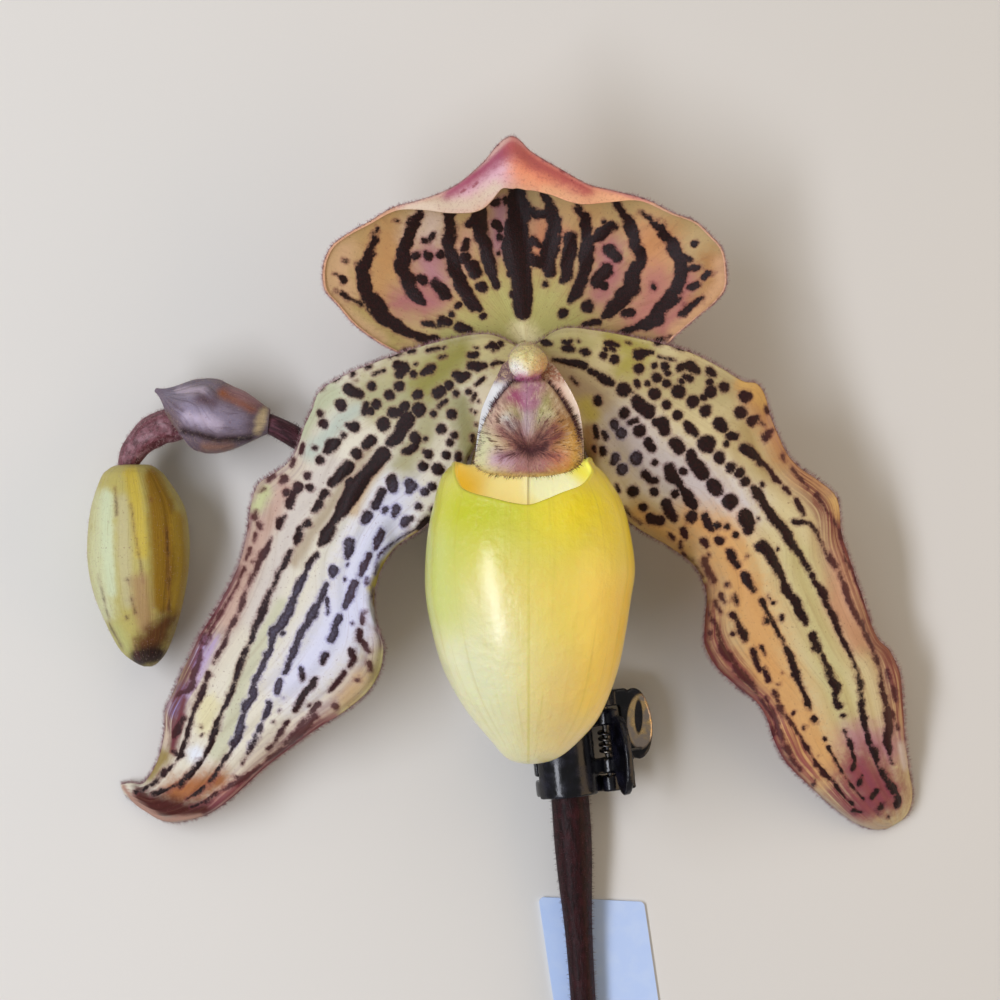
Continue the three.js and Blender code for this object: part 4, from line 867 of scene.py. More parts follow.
# %% The right petal's colours
RIGHT_WASHES = [
    ("#CFC8CC", 38, [(625, 430, 14), (650, 462, 14), (700, 488, 14), (735, 505, 6)]),
    ("#B4A678", 28, [(638, 374, 12), (690, 385, 10), (724, 391, 8)]),
    ("#A89E50", 17, [(612, 341, 5), (640, 352, 6), (625, 366, 5)]),
    ("#B9B076", 18, [(548, 345, 8), (583, 345, 6)]),
    ("#B8A488", 15, [(552, 368, 6), (580, 388, 7), (600, 398, 5)]),
    ("#C6B968", 9, [(586, 404, 4), (592, 415, 4)]),
    ("#9A7A58", 10, [(588, 432, 4), (592, 455, 4)]),
    ("#B4A070", 22, [(743, 433, 8), (762, 466, 7)]),
    ("#B8885A", 18, [(748, 392, 4), (768, 425, 4), (782, 455, 4)]),
    ("#CFA662", 11, [(745, 384, 4), (756, 392, 5), (763, 402, 4)]),
    ("#B28260", 6, [(770, 418, 2), (777, 436, 3), (786, 454, 3), (798, 466, 2)], "streaks"),
    ("#C99E72", 12, [(800, 475, 4), (822, 489, 5)]),
    ("#D6AE70", 8, [(835, 502, 4), (838, 515, 3)]),
    ("#C8A068", 17, [(640, 514, 5), (660, 530, 5), (684, 552, 3)]),
    ("#B4A45A", 7, [(690, 562, 2.5), (700, 580, 2.5), (704, 600, 2)]),
    ("#D6A66C", 28, [(690, 520, 4), (724, 535, 8), (750, 604, 10), (770, 670, 12), (800, 725, 10),
                     (825, 765, 8)]),
    ("#C8BF8A", 15, [(796, 555, 6), (819, 637, 8), (845, 712, 7)]),
    ("#C99C7C", 17, [(845, 560, 6), (838, 604, 7), (856, 640, 5)]),
    ("#8A4A46", 13, [(708, 612, 3), (722, 650, 4), (745, 680, 4)], "streaks"),
    ("#A8904E", 5, [(703, 600, 2), (703, 640, 2), (711, 664, 2), (728, 680, 2)]),
    ("#6E2E34", 5, [(705, 585, 1), (705, 640, 1.5), (718, 668, 1.5), (760, 706, 2),
                    (784, 760, 2), (812, 792, 2), (846, 819, 2)]),
    ("#94524E", 12, [(760, 695, 4), (780, 725, 4), (800, 755, 4), (812, 775, 3)], "streaks"),
    ("#7E443C", 13, [(800, 470, 1), (834, 530, 3), (862, 590, 4), (876, 628, 4), (893, 665, 5),
                     (900, 700, 5), (905, 740, 4)], "streaks"),
    ("#B08088", 24, [(858, 738, 8), (885, 748, 8)]),
    ("#8A4650", 24, [(858, 770, 12), (880, 792, 15), (868, 802, 11)]),
    ("#8A4650", 16, [(838, 790, 6), (856, 806, 8)], "streaks"),
    ("#B4A08C", 6, [(810, 792, 2), (835, 811, 2), (860, 825, 2), (890, 827, 1)]),
    ("#C8B8B0", 5, [(900, 745, 2), (904, 765, 2)]),
]

# %% The right petal's outline
# Strokes of the painted sheen on the right petal, which stands for the window's reflection on its
# marks.
RIGHT_SHEEN = [[(617, 432, 4), (626, 462, 8)]]
RIGHT_RUNGS = [
    [(532, 347, 21.4), (532, 370, 21.6)], [(562, 329, 22.0), (562, 400, 22.2)],
    [(598, 331, 21.8), (575, 430, 22.1)], [(631, 337, 21.4), (590, 459, 22.0)],
    [(665, 345, 20.9), (603, 487, 21.6)], [(696, 355, 20.4), (618, 511, 21.2)],
    [(723, 369, 19.7), (637, 527, 21.0)], [(743, 381, 19.2), (655, 538, 20.8)],
    [(757, 384, 18.6), (666, 544, 20.7)], [(765, 396, 18.2), (675, 550, 20.5)],
    [(770, 415, 17.8), (684, 556, 20.3)], [(777, 435, 17.4), (692, 563, 20.2)],
    [(787, 455, 16.8), (699, 572, 19.9)], [(801, 469, 16.2), (704, 583, 19.5)],
    [(821, 482, 15.6), (708, 600, 19.0)], [(837, 498, 15.0), (706, 620, 18.5)],
    [(841, 533, 13.8), (705, 644, 17.6)], [(850, 562, 13.0), (716, 666, 16.6)],
    [(865, 607, 11.2), (736, 685, 15.0)], [(878, 638, 9.9), (757, 702, 13.6)],
    [(890, 651, 9.0), (768, 719, 12.4)], [(898, 671, 8.0), (775, 742, 11.2)],
    [(902, 699, 7.0), (787, 763, 9.6)], [(904, 732, 5.9), (808, 784, 8.2)],
    [(908, 765, 4.4), (831, 805, 6.4)], [(912.5, 790, 2.4), (854, 822, 4.0)],
    [(909, 809, 1.2), (872, 828.5, 1.8)], [(901, 820, 0.6), (887, 828, 0.7)],
]

# %% Petal shape
PETAL_ROWS, PETAL_COLUMNS = 465, 101
ARCH = 1.6  # mm, rise of the middle of a petal above the line between its margins
PLEAT, PLEATS = 0.16, 7  # mm, and how many between the margins
WAVE = 0.9  # mm, of the margins
CURL = 0.9  # mm, fall of the lower margin's edge
CLEAR = 0.45  # mm, least height above the surface
FULL_WIDTH = 15  # mm, a blade as wide as this or wider has its full arch, pleats and waves
WART = 0.09  # mm, rise of the dark marks
MARK_WIDTH = [(330, 1.03), (480, 1.0), (590, 0.8), (840, 0.74)]  # y, share of the drawn width


def ladder(rungs, rows):
    """Pairs of margin points, evenly spaced along the middle of a ladder of rungs."""
    fine = through(np.arange(len(rungs)), rungs, np.linspace(0, len(rungs) - 1, 6000))
    step = np.linalg.norm(np.diff(fine.mean(1), axis=0), axis=1)
    run = np.concatenate([[0], np.cumsum(step)])
    pick = np.interp(np.linspace(0, run[-1], rows), run, np.arange(6000))
    return fine[np.round(pick).astype(int)]

# %% The petals' mesh
def make_petal(name, rungs, marks, washes, haze, material, phase):
    """A petal's piece; returns its grid of points. phase shifts the waves of its margins."""
    pairs = ladder(rungs, PETAL_ROWS)
    share = np.linspace(0, 1, PETAL_COLUMNS)[None, :, None]
    margins = place(*np.moveaxis(pairs, -1, 0))
    width = np.linalg.norm(margins[:, 0] - margins[:, 1], axis=1)[:, None]
    grid = margins[:, 1:] * (1 - share) + margins[:, :1] * share
    v = np.linspace(0, 1, PETAL_ROWS)[:, None]
    u = 2 * share[..., 0] - 1
    full = np.minimum(1, width / FULL_WIDTH)
    lift = ARCH * (1 - u * u) * full
    pleat = PLEAT * np.cos(math.pi * PLEATS * (u + 0.1 * np.sin(5 * v))) * (1 - u ** 4)
    lift = lift + pleat * full * smooth(0.1, 0.36, v)
    ripple = np.sin(30 * v + phase) + 0.6 * np.sin(53 * v + 2 * phase) + 0.3 * np.sin(97 * v)
    lift = lift + WAVE * ripple * smooth(0.62, 1.0, np.abs(u)) * full * smooth(0.12, 0.3, v)
    lift = lift - CURL * smooth(0.9, 1.0, -u) * full
    grid[..., 2] = np.maximum(grid[..., 2] + lift, FOOT[2] + CLEAR)
    if grid[-1, 0, 0] > grid[0, 0, 0]:
        grid, u = grid[:, ::-1], u[:, ::-1]
    x, y = drawn(grid)
    slim = [[(px, py, r * float(curve(MARK_WIDTH, py))) for px, py, r in mark] for mark in marks]
    spot = distance_to(slim, x, y)
    grid = grid + normals(grid) * (WART * smooth(1.2, -2.4, spot))[..., None]
    edge = np.minimum(1 - np.abs(u), 6 * np.minimum(v + 0.02, 1.004 - v))
    make_sheet(name, grid, 0.1 + 0.3 * smooth(0, 0.16, edge), material, "petal_tissue", [name],
               spot=spot, along=v, across=u, haze=smooth(14, 0, distance_to(haze, x, y)),
               **shares(washes, x, y))
    return grid

# %% Both petals
# Thin tissue, matt with a faint sheen: only the wet warts shine, and on each petal a painted sheen
# stands for the window's reflection. A petal's margins are darker.
left_tissue = tissue("petal_left", "#DAD3C0", LEFT_WASHES, "#B98F86", grain=0.16,
                     rims=("#BCA48C", "#84565C"))
right_tissue = tissue("petal_right", "#D2C496", RIGHT_WASHES, "#B98F7A", grain=0.16,
                      rims=("#BC8C64", "#8E4E48"))
left_grid = make_petal("petal_left", LEFT_RUNGS, LEFT_MARKS, LEFT_WASHES, LEFT_SHEEN,
                       left_tissue, 0.4)
right_grid = make_petal("petal_right", RIGHT_RUNGS, RIGHT_MARKS, RIGHT_WASHES, RIGHT_SHEEN,
                        right_tissue, 2.0)

# %% [markdown]
# ## The back sepal
# The sepal behind the flower is one broad fan on a narrow foot. Its rim leans forward, and at the
# top the tip folds right over, so what shows there is its back side: a low, keeled hood, pink on
# one side of the keel and orange on the other, partly painted light: the pinkish white of the left
# facet and the orange of the right stand for the cool light from the left and the warm light from
# the right. Each column of the mesh runs from the foot to the rim, round the fold, and down the
# hood as far as that reaches at that angle.

# %% The back sepal's marks
DORSAL_MARKS = [
    [(517, 187, 9.5), (518, 200, 10), (520, 211, 10.9), (517, 225, 12.1), (517, 240, 14.4),
     (517, 254, 14.9), (520, 269, 11.5), (522, 280, 9.5), (522, 294, 9.8), (522, 306, 8.3),
     (523, 312, 7.7)], [(511, 274, 4)], [(513, 295, 4)],
    [(484, 195, 3.2), (479, 208, 5.2), (479, 223, 7.2), (482, 237, 6), (487, 254, 6),
     (491, 270, 5.7), (496, 286, 3.4)], [(469, 224, 3.4), (474, 218, 2.9)],
    [(449, 213, 4.9), (449, 228, 5.5), (449, 243, 6.6), (452, 257, 6.6), (455, 271, 6),
     (464, 291, 6.6), (473, 306, 6.6), (479, 310, 3.4)],
    [(420, 214, 3.4), (412, 224, 4.9), (408, 237, 5.5), (403, 251, 6.6), (402, 269, 7.7),
     (408, 283, 7.2), (415, 295, 6.3), (423, 303, 2.6)],
    [(377, 230, 2), (373, 240, 4.3), (369, 251, 5.5), (363, 266, 6.6), (362, 280, 6.6),
     (367, 294, 7.2), (374, 306, 8.3), (386, 320, 6.6), (398, 327, 6), (412, 336, 4),
     (429, 342, 5.5), (435, 340, 3.7)],
    [(544, 192, 3.2), (550, 205, 5.5), (554, 220, 6.6), (554, 234, 7.7), (550, 248, 8.9),
     (546, 260, 9.2), (550, 272, 5.7)], [(531, 210, 2.6), (538, 213, 4.3), (547, 213, 3.2)],
    [(533, 241, 5.7), (539, 246, 3.2)], [(530, 260, 8), (538, 262, 6.9)],
    [(571, 236, 5.5), (571, 248, 6), (567, 263, 7.2), (567, 275, 6.3), (563, 281, 3.4)],
    [(577, 201, 2.3), (583, 214, 4.9), (587, 228, 5.5), (588, 246, 6.6), (587, 260, 7.2),
     (583, 277, 5.5), (578, 291, 6.3), (571, 301, 3.4)],
    [(590, 240, 4.6), (601, 233, 5.2), (610, 226, 4.9), (616, 227, 2)], [(604, 221, 2.6)],
    [(616, 204, 2.9), (624, 214, 4.3), (632, 228, 5.5), (636, 243, 5.5), (641, 260, 5.7),
     (633, 274, 7.2), (633, 289, 7.2), (621, 300, 7.7), (610, 312, 6.6), (604, 316, 3.4)],
    [(643, 210, 2), (653, 220, 3.7), (665, 231, 4.9), (673, 246, 6), (682, 260, 6.6), (682, 277, 6),
     (676, 294, 6.6), (662, 309, 6.6), (656, 320, 8), (644, 325, 5.2), (630, 331, 3.2),
     (621, 332, 2.3)], [(425, 240, 3.4), (433, 236, 3.2)], [(416, 256, 4.3)], [(428, 256, 4.3)],
    [(440, 254, 4.9)], [(423, 280, 5.5)], [(435, 283, 5.5), (444, 294, 6), (449, 298, 2.9)],
    [(464, 248, 3.7), (466, 240, 2.3)], [(465, 258, 5.5)], [(472, 266, 5.7), (476, 274, 5.5)],
    [(481, 287, 5.5)], [(497, 201, 3.7), (490, 202, 2)], [(504, 200, 2.9)],
    [(495, 224, 4.9), (499, 229, 4)], [(500, 237, 4.3)], [(498, 254, 2.6)],
    [(611, 251, 7.5), (616, 258, 5.2)],
    [(606, 269, 6.3), (601, 277, 4.9), (596, 283, 5.2), (604, 286, 3.7)], [(545, 285, 3.2)],
    [(563, 314, 4.9)], [(588, 307, 6)], [(624, 314, 3.7), (631, 313, 3.4)], [(653, 288, 3.2)],
    [(583, 325, 1.7), (591, 323, 3.4), (599, 323, 2)], [(459, 306, 3.2)], [(451, 315, 2.6)],
    [(483, 317, 3.2)], [(442, 322, 5.7), (448, 323, 3.7)],
    [(423, 323, 2), (429, 324, 3.4), (434, 325, 2.6)], [(460, 328, 4.6), (472, 331, 1.4)],
    [(393, 218, 2), (396, 220, 1.4)], [(344, 262, 2)], [(336, 274, 1.1), (344, 282, 2)],
    [(334, 291, 1.1), (350, 300, 1.4), (360, 305, 1.1)], [(695, 244, 2.6)],
    [(687, 269, 2), (697, 267, 3.2)], [(704, 278, 1.7), (711, 274, 3.2)],
    [(687, 289, 2), (697, 285, 3.7)], [(682, 314, 3.2), (689, 309, 4), (702, 298, 1.4)],
    [(688, 260, 3.7)], [(656, 343, 3.2), (670, 337, 1.7)], [(634, 345, 2), (642, 345, 2.9)],
    [(399, 356, 2.6), (408, 353, 3.4)], [(524, 211, 4.6)], [(511, 251, 3.4)],
]

# %% The back sepal's outline
SEPAL_FOOT = (525, 345)
SEPAL_EDGE = [
    (630, 356), (667, 344), (676, 335), (696, 318), (713, 304), (725, 289), (726, 269),
    (722, 249), (710, 235), (696, 222), (673, 213), (644, 199), (616, 192), (587, 185),
    (553, 166), (530, 152), (511, 137), (484, 163), (461, 183), (438, 195), (415, 202),
    (395, 207), (369, 222), (346, 235), (332, 246), (324, 263), (323, 281), (326, 292),
    (337, 304), (354, 324), (372, 338), (395, 351), (413, 357),
]
SEPAL_HEIGHT = [(0, 19.35), (0.3, 16.8), (0.62, 16.2), (0.85, 19.0), (1, 23.0)]  # share, mm
HOOD_KEEL = 93.8  # degrees
HOOD_DEPTH = [  # degrees, mm that the fold reaches back
    (-6, 0.3), (50, 0.3), (60, 1.5), (73, 3.0), (82, 3.9), (88, 5.1), (93.8, 7.3), (99, 5.5),
    (107, 5.0), (118, 3.0), (128, 1.1), (138, 0.3), (186, 0.3),
]

# %% The back sepal's colours
SEPAL_WASHES = [
    ("#BA8E5E", 30, [(385, 270, 8), (388, 240, 8), (378, 300, 4)]),
    ("#CBA782", 16, [(345, 250, 4), (336, 275, 5), (350, 300, 3)]),
    ("#A8955C", 16, [(356, 312, 4), (372, 326, 4), (392, 342, 4)]),
    ("#CDB6A4", 22, [(432, 220, 6), (428, 238, 4), (416, 232, 4)]),
    ("#AC7A80", 22, [(428, 258, 6), (434, 276, 6)]),
    ("#A86C6C", 22, [(416, 296, 6), (432, 302, 6), (400, 302, 3)]),
    ("#C49A80", 14, [(465, 235, 4), (462, 262, 4)]),
    ("#A87C84", 16, [(500, 206, 4), (498, 228, 5), (496, 246, 4)]),
    ("#C28460", 18, [(541, 226, 5), (540, 250, 5), (562, 232, 3)]),
    ("#BE9866", 18, [(568, 210, 5), (596, 215, 6), (600, 240, 3)]),
    ("#C78E60", 26, [(648, 235, 8), (656, 262, 8), (660, 240, 8)]),
    ("#AC7070", 22, [(608, 250, 6), (612, 274, 6), (600, 296, 3)]),
    ("#B4766A", 22, [(656, 284, 8), (650, 306, 6), (636, 318, 4)]),
    ("#AC6E64", 18, [(690, 278, 4), (684, 304, 5), (664, 330, 3)]),
    ("#A87844", 18, [(712, 262, 6), (714, 286, 6), (704, 306, 5)]),
    ("#B3AE6C", 34, [(525, 318, 16), (502, 300, 6), (548, 300, 6)]),
    ("#ADA866", 26, [(480, 328, 8), (450, 334, 5), (575, 322, 6)]),
    ("#DDD2A2", 14, [(522, 332, 5), (527, 342, 7)]),
    ("#C4A37C", 10, [(328, 262, 3), (328, 284, 3), (345, 312, 2), (380, 340, 2)]),
    ("#CB9C72", 10, [(721, 262, 3), (721, 285, 3), (699, 312, 2), (676, 332, 2)]),
]
HOOD_WASHES = [
    # Painted light on the hood's two facets, over its own pink and salmon: pinkish white on the
    # left for the cool light, orange on the right for the warm light.
    ("#E3B5C0", 20, [(500, 168, 10), (482, 184, 6), (456, 197, 5)]),
    ("#DCC6AE", 12, [(408, 207, 3), (440, 206, 4), (472, 205, 2), (495, 188, 2)]),
    ("#F8A07A", 20, [(526, 166, 8), (548, 178, 8), (560, 188, 4)]),
    ("#FAB08C", 16, [(560, 186, 6), (600, 194, 7), (636, 203, 3)]),
    ("#F2B890", 8, [(545, 190, 1), (575, 198, 2), (610, 200, 2), (640, 201, 2)]),
    ("#A8506A", 10, [(510, 148, 4), (487, 167, 2.5), (468, 182, 2), (448, 194, 1)]),
    ("#C46460", 12, [(514, 150, 4), (534, 163, 3.5), (556, 175, 3), (586, 190, 1.5)]),
    ("#D9B0A4", 4, [(509, 138, 1), (484, 162, 0.6), (440, 194, 0.6), (396, 206, 0.6)]),
    ("#CF8A84", 4, [(513, 138, 1), (553, 165, 0.6), (590, 185, 0.6), (648, 200, 0.6)]),
]
HOOD_MARKS = [
    [(478, 183, 0.8), (474, 187, 1.0)], [(466, 190, 0.7), (462, 193, 0.8)],
    [(542, 162, 1.2)], [(560, 171, 0.9), (564, 173, 1.0)], [(571, 181, 0.8)], [(549, 176, 0.6)],
    [(580, 186, 0.7)], [(556, 186, 0.6)],
]

# %% The back sepal's mesh
SEPAL_COLUMNS, BLADE_ROWS, FOLD_ROWS, HOOD_ROWS = 341, 96, 14, 30

edge = np.array(SEPAL_EDGE, float) - SEPAL_FOOT
edge_angle = np.degrees(np.arctan2(-edge[:, 1], edge[:, 0]))
edge_angle = np.where(edge_angle < -90, edge_angle + 360, edge_angle)
angle = np.linspace(186, -6, SEPAL_COLUMNS)
reach = through(edge_angle, np.hypot(*edge.T), angle) * UNIT
depth = curve(HOOD_DEPTH, angle)
fold = smooth(0.2, 2.2, depth)
bend = 0.13 + 0.42 * fold  # mm, radius of the fold
upright = np.maximum(0, np.sin(np.radians(angle)))
near = smooth(16, 0, np.abs(angle - HOOD_KEEL))

rows = []
for s in np.linspace(0.02, 1, BLADE_ROWS):
    side = 19.35 - 2.3 * s + 2.8 * s ** 4
    height = side + (curve(SEPAL_HEIGHT, s) - side) * upright
    height = height + 0.14 * np.cos(np.radians(angle) * 26) * smooth(0.2, 0.6, s)
    height = height - 0.7 * near * smooth(0.5, 1, s)
    rows.append(((reach - bend) * s, height, 0.08 + 0.32 * smooth(1.0, 0.86, s)))
rim_height = rows[-1][1]
for t in np.linspace(0, math.pi, FOLD_ROWS)[1:]:
    rows.append((reach - bend + bend * math.sin(t), rim_height + bend * (1 - math.cos(t)),
                 0.08 + 0.14 * fold))
for d in np.linspace(0, 1, HOOD_ROWS + 1)[1:]:
    lift = (2.3 * d ** 0.8 * fold + 1.5 * near * smooth(0, 0.4, d)) * smooth(0, 3.5, depth)
    rows.append((reach - bend - depth * d, rim_height + 2 * bend + lift,
                 (0.08 + 0.16 * fold) * (1 - 0.5 * d)))
out = np.array([row[0] for row in rows])
high = np.array([row[1] for row in rows])
half = np.array([np.broadcast_to(row[2], angle.shape) for row in rows])
turn = np.radians(angle)
sepal_grid = place(SEPAL_FOOT[0] + out * np.cos(turn) / UNIT,
                   SEPAL_FOOT[1] - out * np.sin(turn) / UNIT, high)
x, y = drawn(sepal_grid)
row = np.arange(len(rows))[:, None]
sepal_rim = BLADE_ROWS + FOLD_ROWS // 2
spot = np.where(row >= sepal_rim, 20, distance_to(DORSAL_MARKS, x, y))  # none on the hood
lift = WART * smooth(1.2, -2.4, spot) * smooth(BLADE_ROWS, BLADE_ROWS - 8, row)
sepal_grid = sepal_grid + normals(sepal_grid) * lift[..., None]
points, faces, back = sheet(sepal_grid, half)

# %% The back sepal's values
hood = both_faces(smooth(BLADE_ROWS + 2, BLADE_ROWS + FOLD_ROWS - 3, row + 0 * x)) * back
hood_spot = both_faces(distance_to(HOOD_MARKS, x, y))
values = {"spot": both_faces(spot), "along": both_faces(out / 30),
          "across": both_faces(np.broadcast_to(turn, x.shape)), "hood": hood,
          "hood_spot": hood_spot}
values.update({key: both_faces(a) for key, a in shares(SEPAL_WASHES, x, y).items()})
hoods = shares(HOOD_WASHES, x, y)
values.update({f"hood_{key}": both_faces(a) for key, a in hoods.items()})

# %% The back sepal's tissue
# The same tissue as the petals', with other washes and finer marks where the hood folds over.
sepal_tissue = tissue("dorsal_sepal", "#B89C6C", SEPAL_WASHES, "#B98A72", vein="#8A5A40",
                      ragged_by=11.0)
node = partial(add, sepal_tissue.node_tree)
shader = sepal_tissue.node_tree.nodes["Principled BSDF"]
under = shader.inputs["Base Color"].links[0].from_socket
where = next(n for n in sepal_tissue.node_tree.nodes if n.type == "VECT_MATH")
hood_colour = washed(node, where, "#D8A888", HOOD_WASHES, "hood_wash")
mottle = node("noise", where, 2.2, 4, 0.7)
speck = node("ADD", node("hood_spot"), node("MULTIPLY_ADD", mottle, 5.0, -2.5))
hood_colour = glaze(node, hood_colour, (mottle, 0.5, 0.68, 0, 0.35, "#9A4A50"),
                    (speck, -0.6, 1.4, 0.7, 0.0, "#8A2E3C"))
plug(shader, {"Base Color": glaze(node, under, (node("hood"), 0.2, 0.8, hood_colour))})
make_piece("dorsal_sepal", points, faces, sepal_tissue, "sepal_tissue", ["dorsal_sepal"],
           back=back, **values)

# %% [markdown]
# ## The pouch
# The lip of the flower is a waxy bag with an open mouth. Its wall is a millimetre thick and lets
# some light through. Its inside has painted light and shade: orange painted shade on the left and
# deeper in, pale painted light on the right, and a painted glow, its own colour given off though it
# is no lamp. The bag is built of rings around its mouth: down the inside from the bottom, over the
# rounded rim, and down the outside. The rim stands high at the two ears and dips in front, and a
# crease runs down the middle of the inside of the back, darkened by a line of painted shade.

# %% The pouch's outline
POUCH_TOP, POUCH_END, POUCH_MIDDLE, POUCH_SEAM = 462, 764, 528, 528.5
POUCH_OUTLINE = [  # y, left and right edge
    (764, 530, 530), (760, 510, 553), (742, 492, 578), (722, 475, 596), (701, 460, 607),
    (666, 442, 619), (631, 432, 626), (599, 426, 631), (569, 425, 635), (531, 428, 630),
    (502, 434, 622), (481, 439.5, 610), (473, 443.5, 604.5), (462, 453, 593), (380, 468, 581),
]
POUCH_FRONT = [  # y, height in mm of the front wall
    (764, 29.6), (756, 33.0), (735, 36.6), (701, 41.0), (633, 45.4), (570, 46.6), (505, 43.6),
    (462, 40.2), (380, 32.0),
]
POUCH_BACK = [
    (764, 29.6), (756, 26.8), (735, 24.6), (701, 22.6), (633, 20.9), (570, 20.8), (505, 22.2),
    (462, 23.0), (380, 22.6),
]
POUCH_RIM = [  # degrees around the mouth, 0 in front and 90 on the right; y of the rim
    (-180, 375), (-160, 446), (-135, 467), (-112, 466), (-90, 465), (-76, 467), (-66, 472),
    (-57, 482), (-50, 490.5), (-40, 496), (-25, 501), (-10, 506.5), (0, 508), (10, 503), (22, 496),
    (40, 488), (55, 477), (70, 465), (88, 461), (112, 462.5), (135, 466), (160, 446), (180, 375),
]
POUCH_WALL, LIP = 1.0, 0.55  # mm: the wall, and how far the rim rises round

# %% The pouch's colours
POUCH_WASHES = [
    ("#E0E2B8", 90, [(462, 660, 14), (505, 700, 24), (530, 738, 20)]),
    ("#F6DC5C", 90, [(602, 590, 14), (600, 650, 14), (588, 690, 8)]),
    ("#C2C81C", 70, [(455, 515, 14), (500, 508, 12), (535, 512, 8)]),
    ("#F2DE04", 56, [(570, 512, 8), (604, 500, 14), (620, 530, 8)]),
    ("#C4CE6C", 40, [(434, 550, 4), (438, 610, 5)]),
    ("#E4CC84", 50, [(575, 690, 8), (560, 730, 6)]),
    ("#FFD850", 40, [(618, 600, 4), (612, 650, 4), (596, 700, 3)]),
]
# Painted light and shade inside the mouth: orange painted shade on the left, cream in the middle,
# and white and yellow painted light on the right.
MOUTH_LIGHT_AND_SHADE = [
    ("#E4BC2C", 26, [(446, 472, 12), (462, 488, 10)]),
    ("#FBF0B8", 16, [(502, 488, 7), (518, 490, 9)]),
    ("#F4FFE8", 12, [(544, 484, 14), (564, 484, 11)]),
    ("#EEF064", 12, [(582, 466, 8), (592, 474, 6)]),
]

# %% Rings of the pouch
def down(y):
    """0 at the end of the pouch, 1 at its ears: even steps make a round end."""
    return np.sqrt(np.maximum(0, POUCH_END - np.asarray(y, float)) / (POUCH_END - POUCH_TOP))


def along_pouch(pairs, y):
    """A smooth curve through (y, value) pairs, even along the pouch."""
    pairs = [(float(down(a)), b) for a, b in pairs]
    return curve(pairs, down(y))


def pouch_ring(degrees, depth, inset):
    """One ring of the pouch: depth is 0 at the rim and 1 at its end, inset in mm."""
    rim = curve(POUCH_RIM, degrees)
    y = rim + (POUCH_END - inset / UNIT - rim) * np.sin(depth * math.pi / 2)
    turn = np.radians(degrees)
    left = along_pouch([(row[0], row[1]) for row in POUCH_OUTLINE], y)
    right = along_pouch([(row[0], row[2]) for row in POUCH_OUTLINE], y)
    middle = POUCH_MIDDLE + 2 * down(y)
    reach = np.where(np.sin(turn) < 0, middle - left, right - middle) - inset / UNIT
    front, back = along_pouch(POUCH_FRONT, y), along_pouch(POUCH_BACK, y)
    deep = np.maximum(0.15, (front - back) / 2 - inset)
    x = middle + np.maximum(1, reach) * np.sin(turn)
    return x, y, (front + back) / 2 + deep * np.cos(turn)

# %% The pouch's mesh
POUCH_COLUMNS, POUCH_ROWS = 240, 96
degrees = np.linspace(-180, 180, POUCH_COLUMNS, endpoint=False)
shape = 1 + 0.004 * np.cos(np.radians(degrees) * 18)
crease = np.exp(-((np.abs(degrees) - 180) / 2.2) ** 2)
rings, inside, deepness = [], [], []
depths = np.linspace(0.0, 0.985, POUCH_ROWS)
for depth in depths[::-1]:
    wall = POUCH_WALL + 0.9 * crease * smooth(0.5, 0.02, depth)
    rings.append(place(*pouch_ring(degrees, depth, wall)))
    inside.append(1.0)
    deepness.append(depth)
for t in np.linspace(0, math.pi, 9)[1:-1]:
    inset = POUCH_WALL * (1 + math.cos(t)) / 2
    ring = place(*pouch_ring(degrees, 0.0, inset))
    ring[:, 1] += LIP * math.sin(t)
    rings.append(ring)
    inside.append(0.5 * (1 + math.cos(t)))
    deepness.append(0)
for depth in depths:
    rings.append(place(*pouch_ring(degrees, depth, 0.0)))
    inside.append(0.0)
    deepness.append(depth)
rings = np.array(rings)
pouch_points, faces = tube(rings)
x, y = drawn(pouch_points)

# %% The pouch's values
values = {"inside": with_ends(np.array(inside)[:, None], rings),
          "along": with_ends(np.array(deepness)[:, None], rings),
          "across": with_ends(np.abs(np.radians(degrees))[None], rings),
          "seam": np.abs(x - POUCH_SEAM)}
values.update(shares(POUCH_WASHES, x, y))
values.update({f"mouth_{key}": a for key, a in shares(MOUTH_LIGHT_AND_SHADE, x, y).items()})

# %% The pouch's wax
# Waxy skin: a clear coat gives broad wet highlights, and some light comes in under the skin. The
# inside has a painted glow: it gives off its own colour as light.
wax, node, shader, where = start_material(
    "pouch", Roughness=0.34, Coat_Weight=0.6, Coat_Roughness=0.19, Subsurface_Weight=0.25,
    Subsurface_Radius=(1.0, 0.55, 0.12), Subsurface_Scale=0.003, Emission_Strength=0.3)
ground = "#DCD070"
for i, (code, *_) in enumerate(POUCH_WASHES):
    ground = node("mix", node(f"wash_{i}"), ground, code)
strip = node("vector", node("MULTIPLY", node("across"), 7.0), node("MULTIPLY", node("along"), 1.2))
veins = node("noise", strip, 1.0, 3, 0.6)
net = node("noise", where, 1.1, 4, 0.65)
ground = glaze(node, ground, (veins, 0.53, 0.68, 0, 0.22, "#B7A92A"),
               (net, 0.5, 0.72, 0, 0.12, "#EFE99A"), (node("seam"), 0.3, 2.4, 0.4, 0, "#BFBC38"))
mouth = "#EADFA4"
for i, (code, *_) in enumerate(MOUTH_LIGHT_AND_SHADE):
    mouth = node("mix", node(f"mouth_wash_{i}"), mouth, code)
# Painted shade: darker orange deeper in, and a dark line in the crease down the back.
mouth = glaze(node, mouth, (node("along"), 0.5, 0.9, 0, 0.5, "#D8A23C"),
              (node("seam"), 0.6, 1.8, 0.8, 0, "#8A8050"))
within = node("ramp", node("inside"), 0.35, 0.75)
